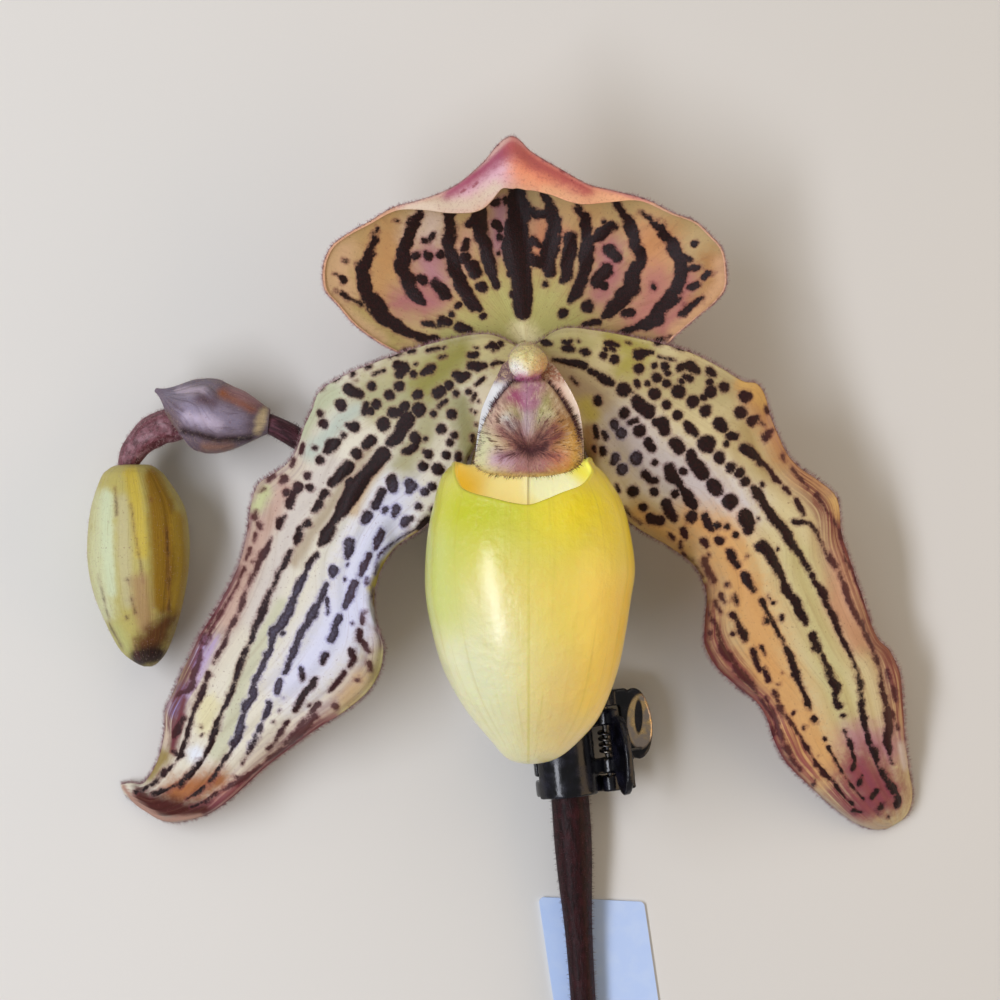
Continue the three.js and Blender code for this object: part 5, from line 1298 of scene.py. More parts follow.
# Painted glow: the inside gives off its own colour as light, though it is no lamp.
finish_material(node, shader, (node("noise", where, 0.35, 2), 0.3), (veins, 0.12), (net, 0.12),
                (node("noise", where, 9.0, 2), 0.012),
                Base_Color=node("mix", within, ground, mouth),
                Emission_Color=node("mix", within, "#000000", mouth))
make_piece("labellum_pouch", pouch_points, faces, wax, "pouch_tissue", ["labellum_pouch"],
           **values)

# %% [markdown]
# ## The middle of the flower
# The column ends in a cream knob that hangs over a broad shield, the staminode. Two glossy pale
# wings stand out behind the shield. The shield is domed, with a ridge down its middle and a dark
# blotch low on it, and covered with short bristles that point away from the blotch.

# %% The column's knob
KNOB = [  # height in mm, half width, middle x and y
    (15.5, 10, 527, 350), (21.0, 11, 527, 351), (24.0, 12, 527, 352), (26.0, 13.8, 527.5, 355),
    (28.0, 16.5, 527.5, 358), (30.5, 18.8, 527.5, 361), (32.0, 19.4, 527.5, 362.5),
    (33.3, 17.0, 527.5, 364.5), (34.3, 12.0, 528, 365.5), (34.8, 5.0, 528, 366),
]
KNOB_WASHES = [
    # Painted light: the knob's top, which faces away from the lamps, painted pale cream.
    ("#F2E8B8", 16, [(527, 340, 8)]),
    ("#E8DA98", 16, [(528, 353, 7)]),
    # Painted highlight, low on the left.
    ("#F6F0E6", 9, [(515, 369, 4), (523, 374, 3)]),
    # Painted shade, orange on the right.
    ("#D9AE78", 14, [(541, 370, 3), (543, 364, 2)]),
    ("#B85C82", 7, [(520, 379, 2), (530, 380, 2), (541, 377, 1)]),
]
rows = np.array(KNOB, float)
fine = through(np.arange(len(rows)), rows, np.linspace(0, len(rows) - 1, 60))
turn = np.linspace(0, 2 * math.pi, 64, endpoint=False)
knob = np.array([place(mx + r * np.cos(turn) * (1 + 0.03 * np.cos(3 * turn)),
                       my + 0.88 * r * np.sin(turn),
                       z + 0.16 * np.sin(5 * turn + 0.9 * z) * min(1, r / 12))
                 for z, r, mx, my in fine])
points, faces = tube(knob)
x, y = drawn(points)

# %% The column's flesh
# Soft flesh that lets light in under its skin, so it looks like cream, with fine brown dots. Its
# top is painted light, cream over a side in shade, with a painted highlight low on the left and
# painted shade on the right.
flesh, node, shader, where = start_material("column", Roughness=0.42, Coat_Weight=0.1,
                                            Subsurface_Weight=0.15, Subsurface_Scale=0.002)
ground = washed(node, where, "#D6C88A", KNOB_WASHES)
ground = glaze(node, ground, (node("noise", where, 4.2, 2, 0.6), 0.6, 0.67, 0, 0.65, "#5A3A2A"))
finish_material(node, shader, (node("noise", where, 1.2, 3), 0.5),
                (node("noise", where, 8.0, 2), 0.05), Base_Color=ground)
make_piece("column", points, faces, flesh, "column_tissue", ["column"],
           **shares(KNOB_WASHES, x, y))

# %% The wings' and the shield's outlines
WING = [  # y, left and right edge, height of its middle in mm
    (360, 509, 546, 28.6), (364, 503, 553, 29.3), (370, 500, 558, 30.0), (378, 496, 563, 30.8),
    (386, 492, 568, 31.3), (397, 487, 574, 31.8),
    (409, 482, 579, 32.1), (422, 479.5, 581.5, 32.3), (436, 477.5, 583, 32.3),
    (450, 476, 583.5, 32.2), (461, 475.5, 583, 32.0), (468, 482, 577, 31.8),
]
SHIELD = [
    (377.5, 521, 537, 32.4), (380, 515, 543, 32.8), (384, 511, 548, 33.2), (388, 507, 553, 33.5),
    (393, 502, 558, 33.8), (404, 494, 565, 34.4), (418, 486.5, 574, 34.9), (432, 481, 579, 35.2),
    (446, 477.5, 581.5, 35.3), (458, 475, 581.5, 35.2), (465, 475, 579, 34.9),
    (469.5, 480, 572, 34.6), (473, 490, 561, 34.3), (475, 503, 548, 34.1), (476, 515, 536, 34.0),
]

# %% The shield's markings
SHIELD_MIDDLE = 529.5  # x of its ridge
SHIELD_HEART = (528, 446)  # middle of the blotch, from which the lines and bristles spread
SHIELD_BLOTCH = [
    [(515, 441, 4), (521, 449, 6), (531, 453, 7), (541, 449, 6), (547, 442, 4)],
    *([(529, 452, 5), (x, y, 1)] for x, y in (
        (502, 430), (508, 424), (515, 421), (521, 431), (531, 438), (539, 432), (546, 423),
        (553, 427), (559, 434), (503, 457), (555, 457))),
]
SHIELD_ARCS = [
    [(519, 383, 1.0), (508, 388, 1.6), (499, 396, 1.6), (493, 406, 0.8)],
    [(549, 384, 1.6), (559, 394, 1.6), (567, 407, 1.2), (575, 423, 0.8), (579, 437, 0.4)],
]
SHIELD_WASHES = [
    ("#CFCFA2", 16, [(482, 428, 3), (482, 448, 6), (484, 462, 5), (493, 469, 2)]),
    ("#C4A08E", 16, [(502, 396, 4), (496, 410, 4), (492, 422, 3)]),
    ("#A97B48", 20, [(558, 412, 5), (564, 430, 7), (556, 444, 4)]),
    ("#D3A455", 14, [(574, 436, 3), (574, 454, 4), (567, 463, 3)]),
    ("#BFA284", 14, [(550, 394, 4), (560, 406, 3)]),
    ("#A29E62", 11, [(518, 412, 2), (521, 424, 1)]),
    ("#A8A468", 11, [(544, 403, 2), (540, 414, 2), (538, 426, 1)]),
    # Painted highlight: a white glare on the left lobe.
    ("#DCE2D8", 8, [(508, 420, 1), (513, 426, 1.5)]),
    ("#C9C596", 8, [(548, 416, 1.5), (543, 424, 1)]),
    ("#B49CA0", 10, [(529, 406, 3), (528, 430, 3)]),
    ("#9E4E6C", 11, [(516, 398, 3), (524, 403, 3)]),
    ("#B27C94", 11, [(532, 388, 5), (532, 400, 3)]),
    ("#C4A6B6", 12, [(498, 459, 3), (510, 462, 3), (516, 466, 2)]),
    ("#CC8A6C", 12, [(548, 462, 3), (560, 458, 3)]),
    ("#A87880", 9, [(520, 466, 3), (530, 468, 3), (541, 466, 3)]),
    ("#D9C29A", 5, [(492, 474, 1), (528, 476, 1), (562, 474, 1)]),
]

# %% Plates
def plate(rows, count, across, drop, relief=0):
    """A domed plate from its rows: its grid of points, and u from -1 to 1 across it."""
    rows = np.array(rows, float)
    y = rows[0, 0] + (rows[-1, 0] - rows[0, 0]) * (1 - np.cos(np.linspace(0, math.pi, count))) / 2
    y, left, right, high = through(rows[:, 0], rows, y).T[..., None]
    u = np.sin(np.linspace(-math.pi / 2, math.pi / 2, across))[None]
    x = (left + right) / 2 + u * (right - left) / 2
    z = high - drop * u ** 2 + (relief(x, y) if relief else 0)
    return [a[:, ::-1] for a in (place(x, y, z), u + 0 * x, x, y + 0 * x)]


def shield_relief(x, y):
    """The shield's relief in mm: two lobes, a ridge, a hollow at its heart, and its chin."""
    x = x - SHIELD_MIDDLE
    lobe = np.exp(-((np.abs(x) - 24) / 14) ** 2 - ((y - 422) / 22) ** 2)
    ridge = np.exp(-(x / 5) ** 2) * smooth(385, 396, y) * smooth(442, 430, y)
    hollow = np.exp(-(x / 17) ** 2 - ((y - 446) / 9) ** 2)
    chin = np.exp(-((np.abs(x) - 22) / 16) ** 2 - ((y - 463) / 7) ** 2)
    return 0.45 * lobe + 0.4 * ridge - 0.55 * hollow + 0.35 * chin

# %% The wings
# Wet, smooth flesh: small sharp highlights, pale at the sides and dusky at the top. The pale sides
# are partly painted light: cool white on the left, warm white on the right.
wing_grid, u, x, wing_y = plate(WING, 61, 81, -1.0)
gloss, node, shader, where = start_material("wings", Roughness=0.24, Coat_Weight=0.3)
side = node("across")
fleck = node("noise", where, 1.8, 4, 0.7)
dusky = glaze(node, "#8A6A70", (side, -0.3, 0.3, "#A06A50"), (fleck, 0.45, 0.62, "#C9AC90"))
# The pale sides carry painted light: cool white on the window side, warm white on the other.
ground = glaze(node, "#C9B4BE", (side, -0.2, 0.6, "#D0A08A"), (side, -0.6, -0.85, "#EEF1F4"),
               (side, 0.7, 0.93, "#E6CDB6"), (node("top"), 0.1, 0.9, dusky))
finish_material(node, shader, (node("noise", where, 1.4, 2), 0.1), Base_Color=ground)
make_sheet("column_wings", wing_grid, 0.12 + 0.2 * smooth(1, 0.7, np.abs(u)), gloss,
           "column_tissue", across=u, top=smooth(392, 374, wing_y))

# %% The shield's mesh
shield_grid, shield_u, x, y = plate(SHIELD, 161, 161, 1.7, shield_relief)
half = smooth(1, 0.75, np.abs(shield_u)) * smooth(377, 386, y) * smooth(477, 468, y)
right, down_it = x - SHIELD_HEART[0], y - SHIELD_HEART[1]
values = {"blotch": distance_to(SHIELD_BLOTCH, x, y), "arc": distance_to(SHIELD_ARCS, x, y),
          "ray": np.abs(np.arctan2(right, -down_it)), "far": np.hypot(right, down_it),
          "side": np.sign(right), "low": smooth(446, 462, y), **shares(SHIELD_WASHES, x, y)}

# %% The shield's felt
# Felted skin: no highlight of its own, only a small painted highlight on the left lobe; fine rays
# and blotches spread from its heart.
felt, node, shader, where = start_material("staminode", Roughness=0.55, Specular_IOR_Level=0.25)
ground = washed(node, where, "#B99C7C", SHIELD_WASHES)
ray, far = node("ray"), node("far")
fan = node("vector", node("MULTIPLY", ray, 13.0), node("MULTIPLY", far, 0.09),
           node("MULTIPLY", node("side"), 4.0))
rays, fibres = node("noise", fan, 1.0, 3, 0.6), node("noise", where, 2.4, 5, 0.75)
ground = glaze(node, ground, (rays, 0.35, 0.5, 0.35, 0, "#E6D8B8"))
flank = node("MULTIPLY", node("ramp", far, 34, 52, 1, 0.25), node("ramp", ray, 0.22, 0.5))
flank = node("MULTIPLY", flank, node("ramp", node("low"), 0.1, 0.8, 1, 0.1))
line = node("MULTIPLY", node("ramp", rays, 0.53, 0.62, 0, 0.85), flank)
ground = node("mix", line, ground, "#4E2A20")
rough = node("ADD", node("MULTIPLY_ADD", rays, 20.0, -10.0),
             node("MULTIPLY_ADD", fibres, 10.0, -5.0))
blotch = node("ADD", node("blotch"), rough)
arc = node("ADD", node("arc"), node("MULTIPLY_ADD", fibres, 8.0, -4.0))
ground = glaze(node, ground, (fibres, 0.56, 0.68, 0, 0.5, "#6A3A38"),
               (fibres, 0.3, 0.44, 0.4, 0, "#E8D9C0"), (blotch, -2, 9, 0.65, 0, "#84384A"),
               (blotch, -6, 3, 0.92, 0, "#3A141E"), (arc, -1, 4, 0.7, 0, "#5A2A34"))
finish_material(node, shader, (rays, 0.16), (fibres, 0.16), Base_Color=ground)
make_sheet("staminode", shield_grid, 0.12 + 0.45 * half, felt, "column_tissue", ["staminode"],
           **values)

# %% [markdown]
# ## Stem, ovaries and the hidden sepal
# The stem is round, dark maroon and hairy, and thickens at the open flower's node, where a bract
# wraps the foot of the ovary. The ovary carries the flower and has low ribs. The two lower sepals
# are grown together into one that hides behind the pouch, the synsepal.

# %% Stem and ovaries
STEM_LINE = [
    (592, 1222, 2.7), (588, 1097, 2.8), (583, 998, 2.95), (576.5, 899.5, 3.5), (570, 799, 4.95),
    (560.5, 715, 5.35), (551.5, 643, 5.2), (529, 587.5, 5.0), (482, 543, 5.0), (423, 507.5, 5.4),
    (354, 474.5, 6.2), (300, 440, 6.9), (271, 424.5, 7.4), (257, 421, 7.55),
]
STEM_RADIUS = [(0, 1.75), (0.2, 1.75), (0.3, 2.1), (0.42, 2.8), (0.56, 2.7), (0.66, 1.9),
               (0.96, 1.65), (1, 1.45)]
OVARY_LINE = [
    (542, 613, 5.2), (544, 557, 4.9), (542, 491.5, 3.9), (537.5, 426, 3.2), (531.5, 377, 4.6),
    (528, 355.5, 9.0), (528, 355.5, 14.0), (528.3, 358.5, 18.2),
]
OVARY_RADIUS = [(0, 1.9), (0.2, 2.5), (0.5, 3.0), (0.7, 2.9), (0.9, 2.2), (1, 2.3)]
RIBS = 6  # of a stalk or an ovary
BUD_OVARY_LINE = [
    (263.5, 421, 7.45), (222.5, 423, 7.9), (172.5, 425, 8.0), (152, 432.5, 7.9), (136.5, 447, 7.8),
    (128.5, 462, 7.9), (127.5, 471, 7.9),
]
BUD_OVARY_RADIUS = [(0, 1.1), (0.35, 1.6), (0.6, 2.5), (0.78, 2.15), (1, 1.35)]

# %% Stalks
def stalk(line, radii, count, around, rib=0.02):
    """Rings of a stalk with low ribs along a line of the sheet, with radii in mm as drawn."""
    points = even(place(*np.array(line, float).T), count)
    _, side, up = frames(points)
    share = np.linspace(0, 1, count)
    radius = curve(radii, share) * (EYE + PLANE - points[:, 2] + FOOT[2]) / EYE
    turn = np.linspace(0, 2 * math.pi, around, endpoint=False)
    swell = 1 + 0.03 * np.sin(share * 37)[:, None] + rib * np.cos(RIBS * turn)[None]
    swell = (radius[:, None] * swell)[..., None]
    return points[:, None] + swell * (side[:, None] * np.cos(turn)[None, :, None]
                                      + up[:, None] * np.sin(turn)[None, :, None])


def hide(name, base, streak, light, young=None, **constants):
    """A stalk's skin: streaks along it, paler patches, a fine grain and a paler young end."""
    material, node, shader, where = start_material(name, **{"Roughness": 0.5, **constants})
    strip = node("vector", node("MULTIPLY", node("across"), 4.0),
                 node("MULTIPLY", node("along"), 9.0))
    streaks = node("noise", strip, 1.0, 3, 0.6)
    cloudy = node("noise", where, 0.6, 3)
    ground = glaze(node, base, (streaks, 0.4, 0.65, streak), (cloudy, 0.5, 0.75, 0, 0.5, light))
    if young:
        tip = node("MULTIPLY", node("ramp", node("along"), 6.4, 7.6),
                   node("ramp", streaks, 0.35, 0.55, 0.9, 0.3))
        ground = node("mix", tip, ground, young)
    finish_material(node, shader, (streaks, 0.15), (node("noise", where, 5.0, 2), 0.05),
                    Base_Color=ground)
    return material


def make_stalk(name, rings, material):
    """A stalk's piece, in place of the CAD node of its name."""
    along = np.linspace(0, 1, rings.shape[0])[:, None] * len(rings) / 40
    across = np.linspace(0, 2 * math.pi, rings.shape[1], endpoint=False)[None]
    make_piece(name, *tube(rings), material, "stem_tissue", [name], along=with_ends(along, rings),
               across=with_ends(np.abs(across - math.pi), rings))

# %% The stem and both ovaries
# Fleshy skin, dull and streaked along its length: almost black on the stem, browner above.
stem_skin = hide("stem", "#2A0A0E", "#170406", "#42161C", "#9A6474", Specular_IOR_Level=0.2)
stem_rings = stalk(STEM_LINE, STEM_RADIUS, 281, 36)
make_stalk("flower_stem", stem_rings, stem_skin)
ovary_skin = hide("ovary", "#6E3A48", "#4A2430", "#8A7A4A")
ovary_rings = stalk(OVARY_LINE, OVARY_RADIUS, 161, 48, 0.05)
make_stalk("flower_ovary", ovary_rings, ovary_skin)
bud_ovary_rings = stalk(BUD_OVARY_LINE, BUD_OVARY_RADIUS, 101, 36, 0.04)
bud_ovary_skin = hide("bud_ovary", "#74404A", "#4E2028", "#B8909A")
make_stalk("bud_ovary", bud_ovary_rings, bud_ovary_skin)

# %% The hidden sepal's drawing
SYNSEPAL_LINE = [(528.5, 375, 19.0), (529, 452, 16.6), (529.5, 557.5, 15.6), (530.5, 662.5, 17.0)]
SYNSEPAL_WIDTH = [(0, 4), (0.2, 15), (0.5, 20), (0.8, 13), (1, 1.6)]
SYNSEPAL_WASHES = [("#9FA65C", 60, [(529, 375, 20), (529, 470, 12)]),
                   ("#B98A70", 40, [(529, 660, 16), (529, 620, 6)])]
SYNSEPAL_MARKS = [[(529.5 + 7.5 * k, 420 + 6 * abs(k), 0.9), (529.5 + 12.5 * k, 520, 1.1),
                   (529.5 + 8 * k, 615 - 4 * abs(k), 0.7)] for k in range(-4, 5)]

# %% The hidden sepal
line = even(place(*np.array(SYNSEPAL_LINE, float).T), 161)
share = np.linspace(0, 1, 161)[:, None]
u = np.linspace(-1, 1, 61)[None]
wide = curve(SYNSEPAL_WIDTH, share)
grid = line[:, None] + np.stack([u * wide / 2, 0 * u * share, 0 * u * share], -1)
grid[..., 2] += 1.6 * u * u * np.minimum(1, wide / 15) + 0.12 * np.cos(u * 22) * (1 - u ** 4)
grid = grid[:, ::-1]
x, y = drawn(grid)
make_sheet("synsepal", grid, 0.1 + 0.3 * smooth(1, 0.8, np.abs(u)),
           tissue("synsepal", "#C2B684", SYNSEPAL_WASHES, "#A9A06C"), "sepal_tissue",
           ["synsepal"], spot=distance_to(SYNSEPAL_MARKS, x, y), along=share, across=u,
           **shares(SYNSEPAL_WASHES, x, y))

# %% [markdown]
# ## The bud and the bracts
# The bud is a closed flower: its outer sepals meet in a long seam, with low ribs, greenish on one
# side and golden on the other, and end in a dark tip. A bract is a small hooded leaf that wraps a
# flower's stalk. Both bracts are thin, ribbed and hairy.

# %% The bud's drawing
BUD_ROWS = [  # y, left and right edge, height of the middle in mm
    (464.5, 121, 148, 7.8), (466, 114, 153, 7.85), (469.5, 108, 158.5, 7.9),
    (477.5, 101, 166.5, 7.9), (505.5, 91.5, 184, 8.0), (536, 87.5, 189.5, 8.1),
    (566, 88, 189, 8.0), (596, 94.5, 184.5, 7.7),
    (626, 107, 177, 7.3), (646, 117.5, 169.5, 7.0), (656, 126, 164, 6.8), (663.5, 137, 157, 6.6),
    (666.5, 144, 151.5, 6.5),
]
BUD_RIBS = [(0.93, 0.05, -0.014), (1.43, 0.1, 0.024), (1.7, 0.05, -0.01), (2.08, 0.05, -0.016),
            (2.33, 0.14, 0.014), (2.62, 0.05, -0.014), (0.55, 0.1, 0.01)]  # radians, width, rise
BUD_WASHES = [
    ("#C6C79A", 12, [(102, 500, 5), (98, 560, 6), (106, 612, 5)]),
    # Painted highlight: a pale band down the lit left side.
    ("#C6CEA8", 6, [(107, 496, 3), (107, 545, 4), (111, 590, 3)]),
    ("#B9B080", 6, [(122, 500, 4), (124, 560, 5), (128, 602, 4)]),
    ("#BEA842", 6, [(131, 474, 5), (138, 510, 4), (142, 552, 4)]),
    ("#8A6816", 7, [(152, 476, 5), (161, 505, 10), (166, 560, 12), (164, 602, 9)]),
    ("#A98A2A", 6, [(178, 518, 4), (182, 570, 4), (175, 612, 4)]),
    ("#A28458", 9, [(140, 582, 5), (143, 610, 6), (146, 625, 5)]),
    ("#B4B270", 8, [(115, 630, 4), (126, 648, 3)]),
    ("#5A3616", 12, [(158, 634, 8), (148, 646, 9), (168, 620, 4)]),
    ("#24100A", 7, [(140, 658, 7), (157, 654, 6)]),
]
BUD_MARKS = [
    [(115, 488, 0.6), (117, 514, 1.1)], [(131, 504, 0.5), (134, 530, 0.8), (140, 560, 0.8),
                                         (143, 582, 0.5)],
    [(127, 580, 1.9), (129, 584, 1)], [(127, 618, 2)], [(131, 598, 0.6), (135, 612, 0.9)],
    [(166, 528, 0.6), (169, 570, 0.9), (169, 610, 0.8)], [(151, 500, 1.3)],
    [(98, 575, 0.5), (110, 625, 0.8), (122, 648, 0.7)], [(134, 640, 0.8), (138, 658, 0.9)],
]

# %% The bud
rows = np.array(BUD_ROWS, float)
fine = through(np.arange(len(rows)), rows, np.linspace(0, len(rows) - 1, 181))
turn = np.linspace(0, 2 * math.pi, 200, endpoint=False)
ribs = 1 + sum(rise * np.exp(-((turn - at) / wide) ** 2) for at, wide, rise in BUD_RIBS)
bud = []
for y, left, right, high in fine:
    radius = (right - left) / 2
    swell = ribs if radius > 20 else 1 + (ribs - 1) * radius / 20
    deep = radius * UNIT * (EYE + PLANE - high) / EYE
    bud.append(place((left + right) / 2 + radius * swell * np.cos(turn), y,
                     np.maximum(high + deep * swell * np.sin(turn), 0.05)))
bud = np.array(bud)
points, faces = tube(bud)
x, y = drawn(points)
turn_of = np.concatenate([np.broadcast_to(np.abs(turn - math.pi), bud.shape[:2]).ravel(), [0, 0]])
bud_tissue = tissue("bud", "#B4A860", BUD_WASHES, "#BDB25A", vein="#8A7434", ragged_by=3.0,
                    ink=0.5, Roughness=0.42)
make_piece("bud", points, faces, bud_tissue, "bud_tissue", ["bud"], back=0.0,
           spot=distance_to(BUD_MARKS, x, y) + 0.6, along=(y - 464) / 200, across=turn_of,
           **shares(BUD_WASHES, x, y))

# %% The bracts' drawing
BUD_BRACT_LINE = [
    (268.5, 421.5, 7.4), (242, 419, 7.6), (213, 416.5, 7.6), (184, 406.5, 7.4), (156.5, 390.5, 7.2),
]
BUD_BRACT_RADIUS = [(0, 1.75), (0.06, 2.3), (0.25, 4.3), (0.5, 5.6), (0.75, 4.2), (0.94, 1.4),
                    (1, 0.6)]  # share, mm
BUD_BRACT_FROM = [(0, -58), (0.42, -58), (0.6, 20), (0.8, 50), (1, 80)]  # share, degrees
BUD_BRACT_TO = [(0, 232), (0.5, 225), (1, 110)]
BUD_BRACT_WASHES = [
    ("#77707E", 20, [(175, 390, 5), (200, 390, 6)]),
    ("#8C8298", 12, [(192, 412, 6), (215, 417, 7), (235, 422, 5)]),
    # Painted highlight: lilac patches on the lower flap.
    ("#B6A8BC", 7, [(188, 416, 1), (205, 420, 3), (218, 424, 2)]),
    ("#A89AA8", 6, [(180, 391, 1), (202, 392, 2)]),
    ("#58323A", 7, [(228, 386, 1), (250, 393, 2), (264, 406, 2)]),
    ("#9A5A38", 6, [(222, 394, 2), (238, 400, 2), (252, 408, 2)]),
    ("#9A7478", 10, [(235, 390, 4), (255, 400, 4)]),
    ("#CDB890", 5, [(263, 412, 1.5), (260, 422, 3.5), (257, 430, 1.5)]),
    ("#5A4652", 8, [(200, 400, 2), (212, 402, 2)]),
    ("#6A5448", 10, [(166, 420, 4), (172, 428, 3)]),
    # Painted shadow: a dark line low on the bract, between its flaps.
    ("#2E1E22", 4, [(184, 430, 1.5), (218, 439, 1.5), (250, 437, 1)]),
    ("#8E6A5E", 6, [(205, 446, 2), (230, 446, 2)]),
]
BRACT_ROWS, BRACT_COLUMNS = 141, 91
FLOWER_BRACT_RADIUS = [(0, 2.9), (0.3, 3.5), (0.6, 3.8), (1, 3.9)]
FLOWER_BRACT_FROM = [(0, -120), (0.5, -90), (1, -28)]
FLOWER_BRACT_TO = [(0, 90), (0.5, 60), (1, -12)]

# %% The bracts
def make_bract(name, points, radii, start, end):
    """A bract around a line of points, between two edges in degrees, ribbed along its length;
    returns its grid."""
    _, side, up = frames(points)
    share = np.linspace(0, 1, BRACT_ROWS)[:, None]
    u = np.linspace(-1, 1, BRACT_COLUMNS)[None]
    low, high = curve(start, share), curve(end, share)
    turn = np.radians((low + high) / 2 + u * (high - low) / 2)
    radius = curve(radii, share) + 0.1 * np.cos(9 * math.pi * u) * smooth(0, 0.1, share)
    grid = points[:, None] + radius[..., None] * (side[:, None] * np.cos(turn)[..., None]
                                                  + up[:, None] * np.sin(turn)[..., None])
    make_sheet(name, grid, 0.08 + 0.16 * smooth(1, 0.85, np.abs(u)), bract_skin, "bract_tissue",
               [name], spot=9.0, along=share, across=u, **shares(BUD_BRACT_WASHES, *drawn(grid)))
    return grid


bract_skin = tissue("bract", "#72626E", BUD_BRACT_WASHES, "#8A6A60", vein="#4A3440", grain=0.4,
                    Roughness=0.5)
bud_bract = make_bract("bud_bract", even(place(*np.array(BUD_BRACT_LINE).T), BRACT_ROWS),
                       BUD_BRACT_RADIUS, BUD_BRACT_FROM, BUD_BRACT_TO)
foot = 44  # of 441 points along the ovary, where its bract begins
ovary_line = even(place(*np.array(OVARY_LINE).T), 441)[foot:foot + BRACT_ROWS]
make_bract("open_flower_bract", ovary_line, FLOWER_BRACT_RADIUS, FLOWER_BRACT_FROM,
           FLOWER_BRACT_TO)

# %% [markdown]
# ## Hairs
# Almost every margin and stalk of this plant has short stiff hairs, which show as a pale fuzz
# against the light. They are thickest on the stem and the bract. The shield has dark bristles.

# %% Growing hairs
def hair_material(name, code, tip):
    """Hair between two colours."""
    material, node, shader, where = start_material(name, Roughness=0.4)
    tone = node("ramp", node("noise", where, 1.5, 1), 0.35, 0.65)
    plug(shader, {"Base Color": node("mix", tone, code, tip)})
    return material


def grow_fringe(name, seed, edges, count, length, thick, material):
    """Hairs along margins: edges is a list of (margin, line just inside it)."""
    rng = np.random.default_rng(seed)
    picked = [fringe(rng, edge, inner, count) for edge, inner in edges]
    roots, ways = (np.concatenate(part) for part in zip(*picked))
    ways = ways + rng.normal(0, 0.35, ways.shape) + [0, 0, 0.15]
    roots = roots + rng.normal(0, 0.07, roots.shape)
    sizes = rng.uniform(0.45, 1.25, len(roots))
    hairs(name, roots, ways, sizes, length, thick, material)


def grow_fur(name, seed, grid, weight, count, length, thick, material, slot, lean=None):
    """Hairs over a surface; lean gives the way they lie down, from their roots."""
    rng = np.random.default_rng(seed)
    roots, ways = sprinkle(rng, grid, weight, count)
    ways = ways + rng.normal(0, 0.3, ways.shape) + (lean(roots) if lean else 0)
    hairs(name, roots, ways, rng.uniform(0.5, 1.2, count), length, thick, material)

# %% Hairs of the margins and stalks
# Hairs are dull strands; each kind varies between two colours, so that a fringe looks alive.
pale = hair_material("pale_hair", "#CDB79C", "#A8808A")
ruddy = hair_material("ruddy_hair", "#8A5660", "#C9A8A8")
dark = hair_material("dark_hair", "#2A1016", "#5A2A36")
blush = hair_material("blush_hair", "#B04A78", "#D89AB8")


def margins(grid):
    """Both long edges of a petal's grid, each with a line inside it."""
    return [(grid[:, 0], grid[:, 3]), (grid[:, -1], grid[:, -4])]


grow_fringe("petal_left_hairs", 1, margins(left_grid), 5000, 0.75, 0.028, ruddy)
grow_fringe("petal_right_hairs", 2, margins(right_grid), 5000, 0.75, 0.028, ruddy)
grow_fringe("sepal_hairs", 3, [(sepal_grid[sepal_rim], sepal_grid[sepal_rim - 8])], 5200, 0.75,
            0.028, ruddy)
for name, seed, grid in (("petal_left_down", 11, left_grid), ("petal_right_down", 12, right_grid)):
    feet = smooth(0.34, 0.05, np.linspace(0, 1, PETAL_ROWS))[:, None]
    grow_fur(name, seed, grid, 0.05 + feet, 2600, 0.34, 0.018, dark, "petal_tissue")
for name, seed, grid, *how in (  # count, length, thickness, material, slot
        ("stem_hairs", 4, stem_rings, 9000, 0.6, 0.03, dark, "stem_tissue"),
        ("bud_hairs", 5, bud, 2600, 0.3, 0.02, pale, "bud_tissue"),
        ("bud_ovary_hairs", 6, bud_ovary_rings, 2600, 0.5, 0.024, ruddy, "stem_tissue"),
        ("bud_bract_hairs", 7, bud_bract, 5200, 0.55, 0.024, pale, "bract_tissue")):
    grow_fur(name, seed, grid, 1, *how)

# %% The way of the shield's bristles
def outward(roots):
    """The way along the shield, away from its blotch."""
    way = (roots - place(*SHIELD_HEART, 33.0)) * [1, 1, 0.3]
    return 1.5 * way / (np.linalg.norm(way, axis=1, keepdims=True) + 0.3)

# %% Bristles, down and beards
x, y = drawn(shield_grid)
blotch = smooth(12, 0, distance_to(SHIELD_BLOTCH, x, y))
arcs = smooth(4, 0, distance_to(SHIELD_ARCS, x, y))
sides = smooth(0.7, 0.95, np.abs(shield_u))
grow_fur("shield_bristles", 8, shield_grid, 0.16 + 0.6 * blotch + 2.2 * arcs + 0.5 * sides, 2000,
         0.95, 0.05, dark, "column_tissue", outward)
grow_fur("shield_down", 9, shield_grid, 1, 3000, 0.65, 0.036, pale, "column_tissue", outward)
beard = smooth(8, 0, distance_to([[(523, 389, 3), (529, 387, 4), (536, 391, 3)]], x, y))
grow_fur("throat_beard", 14, shield_grid, beard, 300, 0.8, 0.04, blush, "column_tissue",
         lambda roots: np.array([0, -0.6, 0.4]))
grow_fur("wing_hairs", 15, wing_grid, smooth(392, 376, wing_y), 420, 0.7, 0.036, dark,
         "column_tissue", lambda roots: np.array([0, 0.2, 0.5]))
grow_fur("knob_down", 10, knob[::-1], smooth(22, 30, knob[::-1, :, 2]), 900, 0.42, 0.026, pale,
         "column_tissue")
x, y = drawn(knob[::-1])
grow_fur("knob_beard", 16, knob[::-1], smooth(374, 379, y) * smooth(24, 28, knob[::-1, :, 2]), 420,
         0.9, 0.045, blush, "column_tissue", lambda roots: np.array([0, -0.9, 0.3]))

# %% [markdown]
# ## The clip
# The clip is moulded in black plastic, and works on a steel pin and spring. The inside of its rear
# tab has a painted reflection: a bright bronze metallic patch that stands for the warm light the
# glossy tab catches. A moulding has soft edges, so its two halves are copies of the CAD solids,
# skinned anew in small cubes and smoothed. The pin's own solid is good enough.

